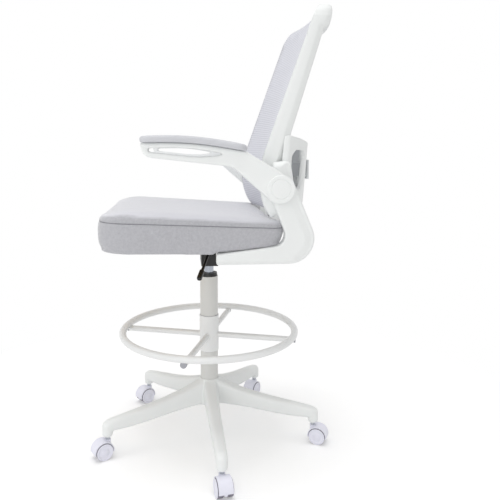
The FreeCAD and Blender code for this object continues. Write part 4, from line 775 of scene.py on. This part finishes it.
@dataclass
class Seat:
    """The upholstered seat on its board."""

    cell_mm: float = 5.5
    rough_softening: int = 1
    softening: int = 2
    pressure: float = 4.0
    swell_mm: float = 4.0
    fill: float = 0.8
    # The outline in plan, measured from the column, and the height of the underside.
    half_width: float = 0.245
    front: float = 0.282
    rear: float = 0.176
    corner: float = 0.060
    underside: float = 0.575
    # The groove along the seam and the thread in it.
    seam_depth_mm: float = 2.5
    seam_width_mm: float = 3.0
    thread_mm: float = 1.0
    # The wall above the seam, the round edge on it and the crown of the top.
    wall_front: float = 0.023
    wall_rear: float = 0.012
    edge_reach: float = 0.011
    crown: float = 0.010
    crown_reach: float = 0.060
    # The front, where the top falls by a share of its height and the band below swells forward.
    fall: float = 0.55
    fall_reach: float = 0.090
    bulge: float = 0.007
    bulge_reach: float = 0.050
    # The hem round the board's lower edge, from the front to the column, where it hangs lowest.
    hem_height: float = 0.018
    hem_reach: float = 0.020
    hem_round: float = 0.2
    hem_spread: float = 0.070
    hem_end: float = 0.004
    hang: float = 0.009
    hang_reach: float = 0.050
    # The rear, whose outer parts reach further back than the throat between them.
    throat_start: float = 0.10
    throat_stretch: float = 0.30
    throat_inner: float = 0.175
    throat_outer: float = 0.212

    def build(self) -> None:
        """Build the cushion's cover and its seam, and finish the board."""
        paint(Palette.PLYWOOD, "seat_board")
        cover = shaped_by(merged_copy("seat_cushion"), add_voxel_skin(self.cell_mm),
                          add_relaxing(self.rough_softening))
        for vert in cover.verts:
            self.square_up(vert)
        cover = shaped_by(cover, add_voxel_skin(self.cell_mm), add_relaxing(self.softening))
        cover = puffed(cover, self.pressure, self.swell_mm)
        cover = shaped_by(cover, add_subdivision())
        self.draw_in_seam(cover)
        seam = section_loop(cover, Vector((0, 0, SEAM_HEIGHT)), Vector((0, SEAM_SLOPE, 1)))
        cushion = add_piece("seat_cover", cover, "seat", Palette.FABRIC, "grey_fabric", ["seat_cushion"])
        add_piece("seat_seam", tube_along(seam, self.thread_mm), "seat", Palette.THREAD, "grey_fabric")

    def inset(self, place: Vector) -> float:
        """Return how far a point lies inside the seat's outline in plan.

        Args:
            place: The point.

        Returns:
            The distance, less than nothing outside.
        """
        middle = (self.rear - self.front) / 2
        across = abs(place.x) - (self.half_width - self.corner)
        along = abs(place.y - middle) - ((self.rear + self.front) / 2 - self.corner)
        outside = math.hypot(max(across, 0), max(along, 0))
        return self.corner - outside - min(max(across, along), 0)

    def square_up(self, vert: bmesh.types.BMVert) -> None:
        """Turn the cover over a firm edge, swell its front, draw its hem tight and widen its rear.

        Args:
            vert: A point of the cover, changed in place.
        """
        depth = max(self.inset(vert.co), 0)
        seam = seam_at(vert.co)
        if vert.co.z > seam:
            vert.co.z = seam + self.rise(vert.co, depth)
        elif vert.co.y + self.front < self.bulge_reach:
            height = max(vert.co.z - self.underside, 0) / (seam - self.underside)
            near = 1 - max(vert.co.y + self.front, 0) / self.bulge_reach
            vert.co.y -= self.bulge * math.sin(math.pi * height) * near
        low = min(1 - (vert.co.z - self.underside) / self.hem_height, 1)
        if low > 0 and depth < self.hem_spread and vert.co.y < self.hem_end:
            edge = self.hem_reach * (1 - math.sqrt(1 - low ** 2))
            target = edge * self.hem_round
            share = clipped((depth - edge) / (self.hem_spread - edge))
            vert.co -= self.inward(vert.co) * (edge - target) * (1 - share)
            vert.co.z -= self.hang * self.along(vert.co) * low * max(1 - depth / self.hang_reach, 0)
        if vert.co.y > self.throat_start:
            outer = (abs(vert.co.x) - self.throat_inner) / (self.throat_outer - self.throat_inner)
            vert.co.y += (vert.co.y - self.throat_start) * self.throat_stretch * clipped(outer)

    def rise(self, place: Vector, depth: float) -> float:
        """Return how high the cover stands over its seam.

        Args:
            place: A point of the cover's top.
            depth: How far it lies inside the seat's outline.

        Returns:
            The height, which falls towards the edge and the front.
        """
        along = clipped((place.y + self.front) / (self.front + self.rear))
        wall = self.wall_front + (self.wall_rear - self.wall_front) * along
        turn = min(depth / self.edge_reach, 1)
        rise = wall * math.sqrt(1 - (1 - turn) ** 2)
        rise += self.crown * (1 - math.exp(-depth / self.crown_reach))
        lead = max(1 - (place.y + self.front) / self.fall_reach, 0)
        return rise * (1 - self.fall * lead ** 2)

    def along(self, place: Vector) -> float:
        """Return a point's place from the seat's front edge, nothing, to the column, one."""
        return clipped(1 + place.y / self.front)

    def inward(self, place: Vector) -> Vector:
        """Return the level direction from a point to the inside of the seat's outline."""
        step = Vector((MM, 0, 0)), Vector((0, MM, 0))
        slopes = [self.inset(place + move) - self.inset(place - move) for move in step]
        return Vector((*slopes, 0)) / (2 * MM)

    def draw_in_seam(self, cover: bmesh.types.BMesh) -> None:
        """Press the seam's line into the cover.

        Args:
            cover: The cushion's cover, changed in place.
        """
        cover.normal_update()
        for vert in cover.verts:
            away = vert.co.z - seam_at(vert.co)
            depth = self.seam_depth_mm * math.exp(-(away / (self.seam_width_mm * MM)) ** 2)
            vert.co -= vert.normal * depth * MM


@dataclass
class BackRest:
    """The back frame with its stretched mesh, the brackets, the yoke and the lumbar support."""

    flat: tuple[float, float] = (0.45, 0.60)
    cell_mm: float = 2.5
    softening: int = 6
    frame_softening: int = 3
    # A face looks to the rear from this on, and fully from twice this.
    facing_rear: float = 0.3
    # How far the mesh is let down at its foot.
    hem_drop: float = 0.009
    hem_reach: float = 0.030
    # The bead behind the top rail: its thickness, its place below the top, its nose and its rounded crest.
    bead: float = 0.010
    bead_height: float = 0.064
    bead_foot: float = 0.016
    bead_top: float = 0.036
    nose: float = 0.012
    crest: float = 0.034
    crest_rounds: int = 30
    crest_share: float = 0.5
    # The slope along the rear edge of a bracket's outer side, behind the seat only.
    slope_reach: float = 0.016
    slope_depth: float = 0.007
    slope_start: float = 0.10
    # The mesh panel's faces that look sideways, and up or down, by more than these are its rims.
    edge_on: float = 0.45
    edge_up: float = 0.93

    def build(self) -> None:
        """Build the mesh and finish the mouldings."""
        add_moulding("back_frame", Palette.NYLON, "white_nylon", self.cell_mm, self.frame_softening,
                     self.swell_top)
        add_moulding("back_yoke", Palette.NYLON, "white_nylon", self.cell_mm, self.softening)
        for side in SIDES:
            add_moulding(f"bracket_{side}", Palette.NYLON, "white_nylon", self.cell_mm, self.softening,
                         self.chamfer_rear)
        paint(Palette.LUMBAR, "lumbar_carrier", "lumbar_pad")
        self.stretch_mesh()

    def swell_top(self, mould: bmesh.types.BMesh) -> None:
        """Thicken the top rail to the rear and round its crest.

        Args:
            mould: The back frame, changed in place.
        """
        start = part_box("back_frame")[1][2] - self.bead_height
        for vert in mould.verts:
            rise = clipped((vert.co.z - start) / self.bead_foot)
            fall = clipped((start + self.bead_height - vert.co.z) / self.bead_top)
            rear = clipped((vert.normal.y - self.facing_rear) / self.facing_rear)
            bead = self.bead * rise * rise * (3 - 2 * rise) - self.nose * (1 - fall) ** 2
            vert.co.y += bead * rear
        crest = [vert for vert in mould.verts
                 if vert.co.z > start + self.bead_height - self.crest and vert.normal.y > -self.facing_rear]
        for _ in range(self.crest_rounds):
            bmesh.ops.smooth_vert(mould, verts=crest, factor=self.crest_share,
                                  use_axis_x=True, use_axis_y=True, use_axis_z=True)

    def chamfer_rear(self, mould: bmesh.types.BMesh) -> None:
        """Slope the outer side of a bracket inward towards its rear edge.

        Args:
            mould: The bracket, changed in place.
        """
        wall = [vert.co for vert in mould.verts
                if vert.normal.y > self.facing_rear and vert.co.y > self.slope_start]
        tree = KDTree(len(wall))
        for index, place in enumerate(wall):
            tree.insert((0, place.y, place.z), index)
        tree.balance()
        outer = max(abs(vert.co.x) for vert in mould.verts)
        for vert in mould.verts:
            away = tree.find((0, vert.co.y, vert.co.z))[2]
            limit = outer - self.slope_depth * max(1 - away / self.slope_reach, 0)
            vert.co.x = min(max(vert.co.x, -limit), limit)

    def stretch_mesh(self) -> None:
        """Build the mesh from the front and the edges of its panel."""
        cloth = merged_copy("back_mesh")
        cloth.normal_update()
        rear = [face for face in cloth.faces if face.normal.y > self.facing_rear]
        bmesh.ops.delete(cloth, geom=rear, context="FACES")
        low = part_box("back_mesh")[0][2]
        for vert in cloth.verts:
            vert.co.z -= self.hem_drop * max(1 - (vert.co.z - low) / self.hem_reach, 0)
        for face in cloth.faces:
            face.material_index = self.rim(face.normal)
        area = sum(face.calc_area() for face in cloth.faces)
        LOG.info("mesh area %.4f", area)
        sheet = add_piece("back_mesh_cloth", cloth, "seat", Palette.MESH, "mesh_fabric", ["back_mesh"])
        sheet.data.materials.append(Palette.NYLON.material())
        sheet.data.materials.append(Palette.GREY.material())

    def rim(self, normal: Vector) -> int:
        """Return the number of a face's finish on the mesh panel.

        Args:
            normal: The face's normal.

        Returns:
            Nothing for the mesh, one for a side rim and two for the top or bottom rim.
        """
        if abs(normal.z) > self.edge_up:
            return 2
        return int(abs(normal.x) > self.edge_on)


@dataclass
class Arms:
    """The two flip-up arms with their soft pads."""

    mould_mm: float = 2.0
    softening: int = 6
    cell_mm: float = 4.0
    pad_softening: int = 3
    pressure: float = 3.0
    swell_mm: float = 2.5
    frames: int = 10
    fill: float = 0.95

    def build(self) -> None:
        """Build the pads and finish the arms."""
        for side in SIDES:
            add_moulding(f"arm_{side}", Palette.NYLON, "white_nylon", self.mould_mm, self.softening)
            paint(Palette.NYLON, f"pivot_cap_{side}")
            skin = shaped_by(merged_copy(f"arm_pad_{side}"), add_voxel_skin(self.cell_mm),
                             add_relaxing(self.pad_softening))
            skin = puffed(skin, self.pressure, self.swell_mm, self.frames)
            skin = shaped_by(skin, add_subdivision())
            pad = add_piece(f"arm_pad_skin_{side}", skin, f"arm_{side}", Palette.FOAM, "pad_skin",
                            [f"arm_pad_{side}"])


@dataclass(frozen=True)
class Lamp:
    """A square soft lamp, with its side in metres and its power in watts."""

    name: str
    place: tuple[float, float, float]
    size: float
    power: float

    def hang(self, aim: tuple[float, float, float]) -> None:
        """Hang the lamp.

        Args:
            aim: The point that it faces.
        """
        light = bpy.data.lights.new(self.name, "AREA")
        light.size = self.size
        light.energy = self.power
        lamp = bpy.data.objects.new(self.name, light)
        bpy.context.scene.collection.objects.link(lamp)
        lamp.location = self.place
        lamp.rotation_euler = (Vector(aim) - Vector(self.place)).to_track_quat("-Z", "Y").to_euler()


@dataclass
class Studio:
    """A plain pale floor under soft white light, and the camera."""

    floor_half: float = 12.0
    floor_colour: str = "F4F4F4"
    floor_lift: float = 0.22
    floor_near: float = 0.45
    floor_far: float = 1.1
    sky_light: float = 0.64
    lamps: tuple[Lamp, ...] = (
        Lamp("lamp_top", (0.2, -0.3, 6.0), 4.0, 125.0),
        Lamp("lamp_near", (3.2, -1.2, 1.1), 2.2, 22.0),
        Lamp("lamp_front", (0.6, -3.2, 1.6), 2.0, 8.0))
    aim: tuple[float, float, float] = (0, 0, 0.6)
    camera_place: tuple[float, float, float] = (1.5966, -0.0716, 0.8275)
    camera_yaw: float = 5.24
    camera_pitch: float = 5.63
    sensor: float = 36.0
    lens: float = 40.89
    shift: tuple[float, float] = (0.03, -0.09)

    def build(self) -> None:
        """Build the floor, the light and the camera."""
        bpy.context.scene.view_settings.view_transform = "Standard"
        self.lay_floor()
        self.light_sky()
        for lamp in self.lamps:
            lamp.hang(self.aim)
        self.set_camera()

    def lay_floor(self) -> None:
        """Lay a pale floor that shows as white to the eye and keeps the chair's shadow."""
        mesh = bmesh.new()
        bmesh.ops.create_grid(mesh, x_segments=1, y_segments=1, size=self.floor_half)
        data = bpy.data.meshes.new("studio_floor")
        mesh.to_mesh(data)
        mesh.free()
        floor = bpy.data.objects.new("studio_floor", data)
        bpy.context.scene.collection.objects.link(floor)
        material = bpy.data.materials.new("matt_white_studio_floor")
        material.use_nodes = True
        tree = material.node_tree
        tree.nodes.clear()
        rays = add_node(tree, "ShaderNodeLightPath").outputs
        seen = add_node(tree, "ShaderNodeMath", {"operation": "MAXIMUM"}, {
            0: rays["Is Camera Ray"], 1: rays["Is Glossy Ray"]})
        lift = add_node(tree, "ShaderNodeMath", {"operation": "MULTIPLY"}, {
            0: seen.outputs[0], 1: self.floor_lift})
        matt = add_node(tree, "ShaderNodeBsdfDiffuse", inputs={"Color": linear(self.floor_colour)})
        glow = add_node(tree, "ShaderNodeEmission", inputs={"Strength": lift.outputs[0]})
        both = add_node(tree, "ShaderNodeAddShader", inputs={0: matt.outputs[0], 1: glow.outputs[0]})
        place = add_node(tree, "ShaderNodeTexCoord").outputs["Object"]
        away = add_node(tree, "ShaderNodeVectorMath", {"operation": "LENGTH"}, {0: place})
        fade = add_node(tree, "ShaderNodeMapRange", inputs={
            "Value": away.outputs["Value"], "From Min": self.floor_near, "From Max": self.floor_far})
        share = add_node(tree, "ShaderNodeMath", {"operation": "MULTIPLY"}, {
            0: fade.outputs["Result"], 1: seen.outputs[0]})
        plain = add_node(tree, "ShaderNodeEmission")
        blend = add_node(tree, "ShaderNodeMixShader", inputs={
            0: share.outputs[0], 1: both.outputs[0], 2: plain.outputs[0]})
        add_node(tree, "ShaderNodeOutputMaterial", inputs={"Surface": blend.outputs[0]})
        data.materials.append(material)

    def light_sky(self) -> None:
        """Light the room evenly, and show it as plain white behind the chair."""
        world = bpy.data.worlds.new("white_studio")
        bpy.context.scene.world = world
        world.use_nodes = True
        tree = world.node_tree
        tree.nodes.clear()
        rays = add_node(tree, "ShaderNodeLightPath").outputs
        straight = add_node(tree, "ShaderNodeMath", {"operation": "MAXIMUM"}, {
            0: rays["Is Camera Ray"], 1: rays["Is Glossy Ray"]})
        seen = add_node(tree, "ShaderNodeMath", {"operation": "MAXIMUM"}, {
            0: straight.outputs[0], 1: rays["Is Transmission Ray"]})
        strength = add_node(tree, "ShaderNodeMapRange", inputs={
            "Value": seen.outputs[0], "To Min": self.sky_light, "To Max": 1.0})
        sky = add_node(tree, "ShaderNodeBackground", inputs={"Strength": strength.outputs["Result"]})
        sky.inputs["Color"].default_value = (1.0, 1.0, 1.0, 1.0)
        add_node(tree, "ShaderNodeOutputWorld", inputs={"Surface": sky.outputs[0]})

    def set_camera(self) -> None:
        """Set the camera at the photograph's viewpoint."""
        data = bpy.data.cameras.new("camera")
        data.sensor_width = self.sensor
        data.lens = self.lens
        data.shift_x, data.shift_y = self.shift
        camera = bpy.data.objects.new("camera", data)
        bpy.context.scene.collection.objects.link(camera)
        yaw = math.radians(self.camera_yaw)
        pitch = math.radians(self.camera_pitch)
        look = Vector((-math.cos(pitch) * math.cos(yaw), math.cos(pitch) * math.sin(yaw), -math.sin(pitch)))
        camera.location = self.camera_place
        camera.rotation_euler = look.to_track_quat("-Z", "Y").to_euler()
        bpy.context.scene.camera = camera


def main() -> None:
    """Build and dress the chair, then set the studio around it."""
    logging.basicConfig(level=logging.INFO, format="%(message)s")
    RunningGear().build()
    LiftColumn().dress()
    Mechanism().dress()
    Seat().build()
    BackRest().build()
    Arms().build()
    Studio().build()


if __name__ == "__main__":
    main()
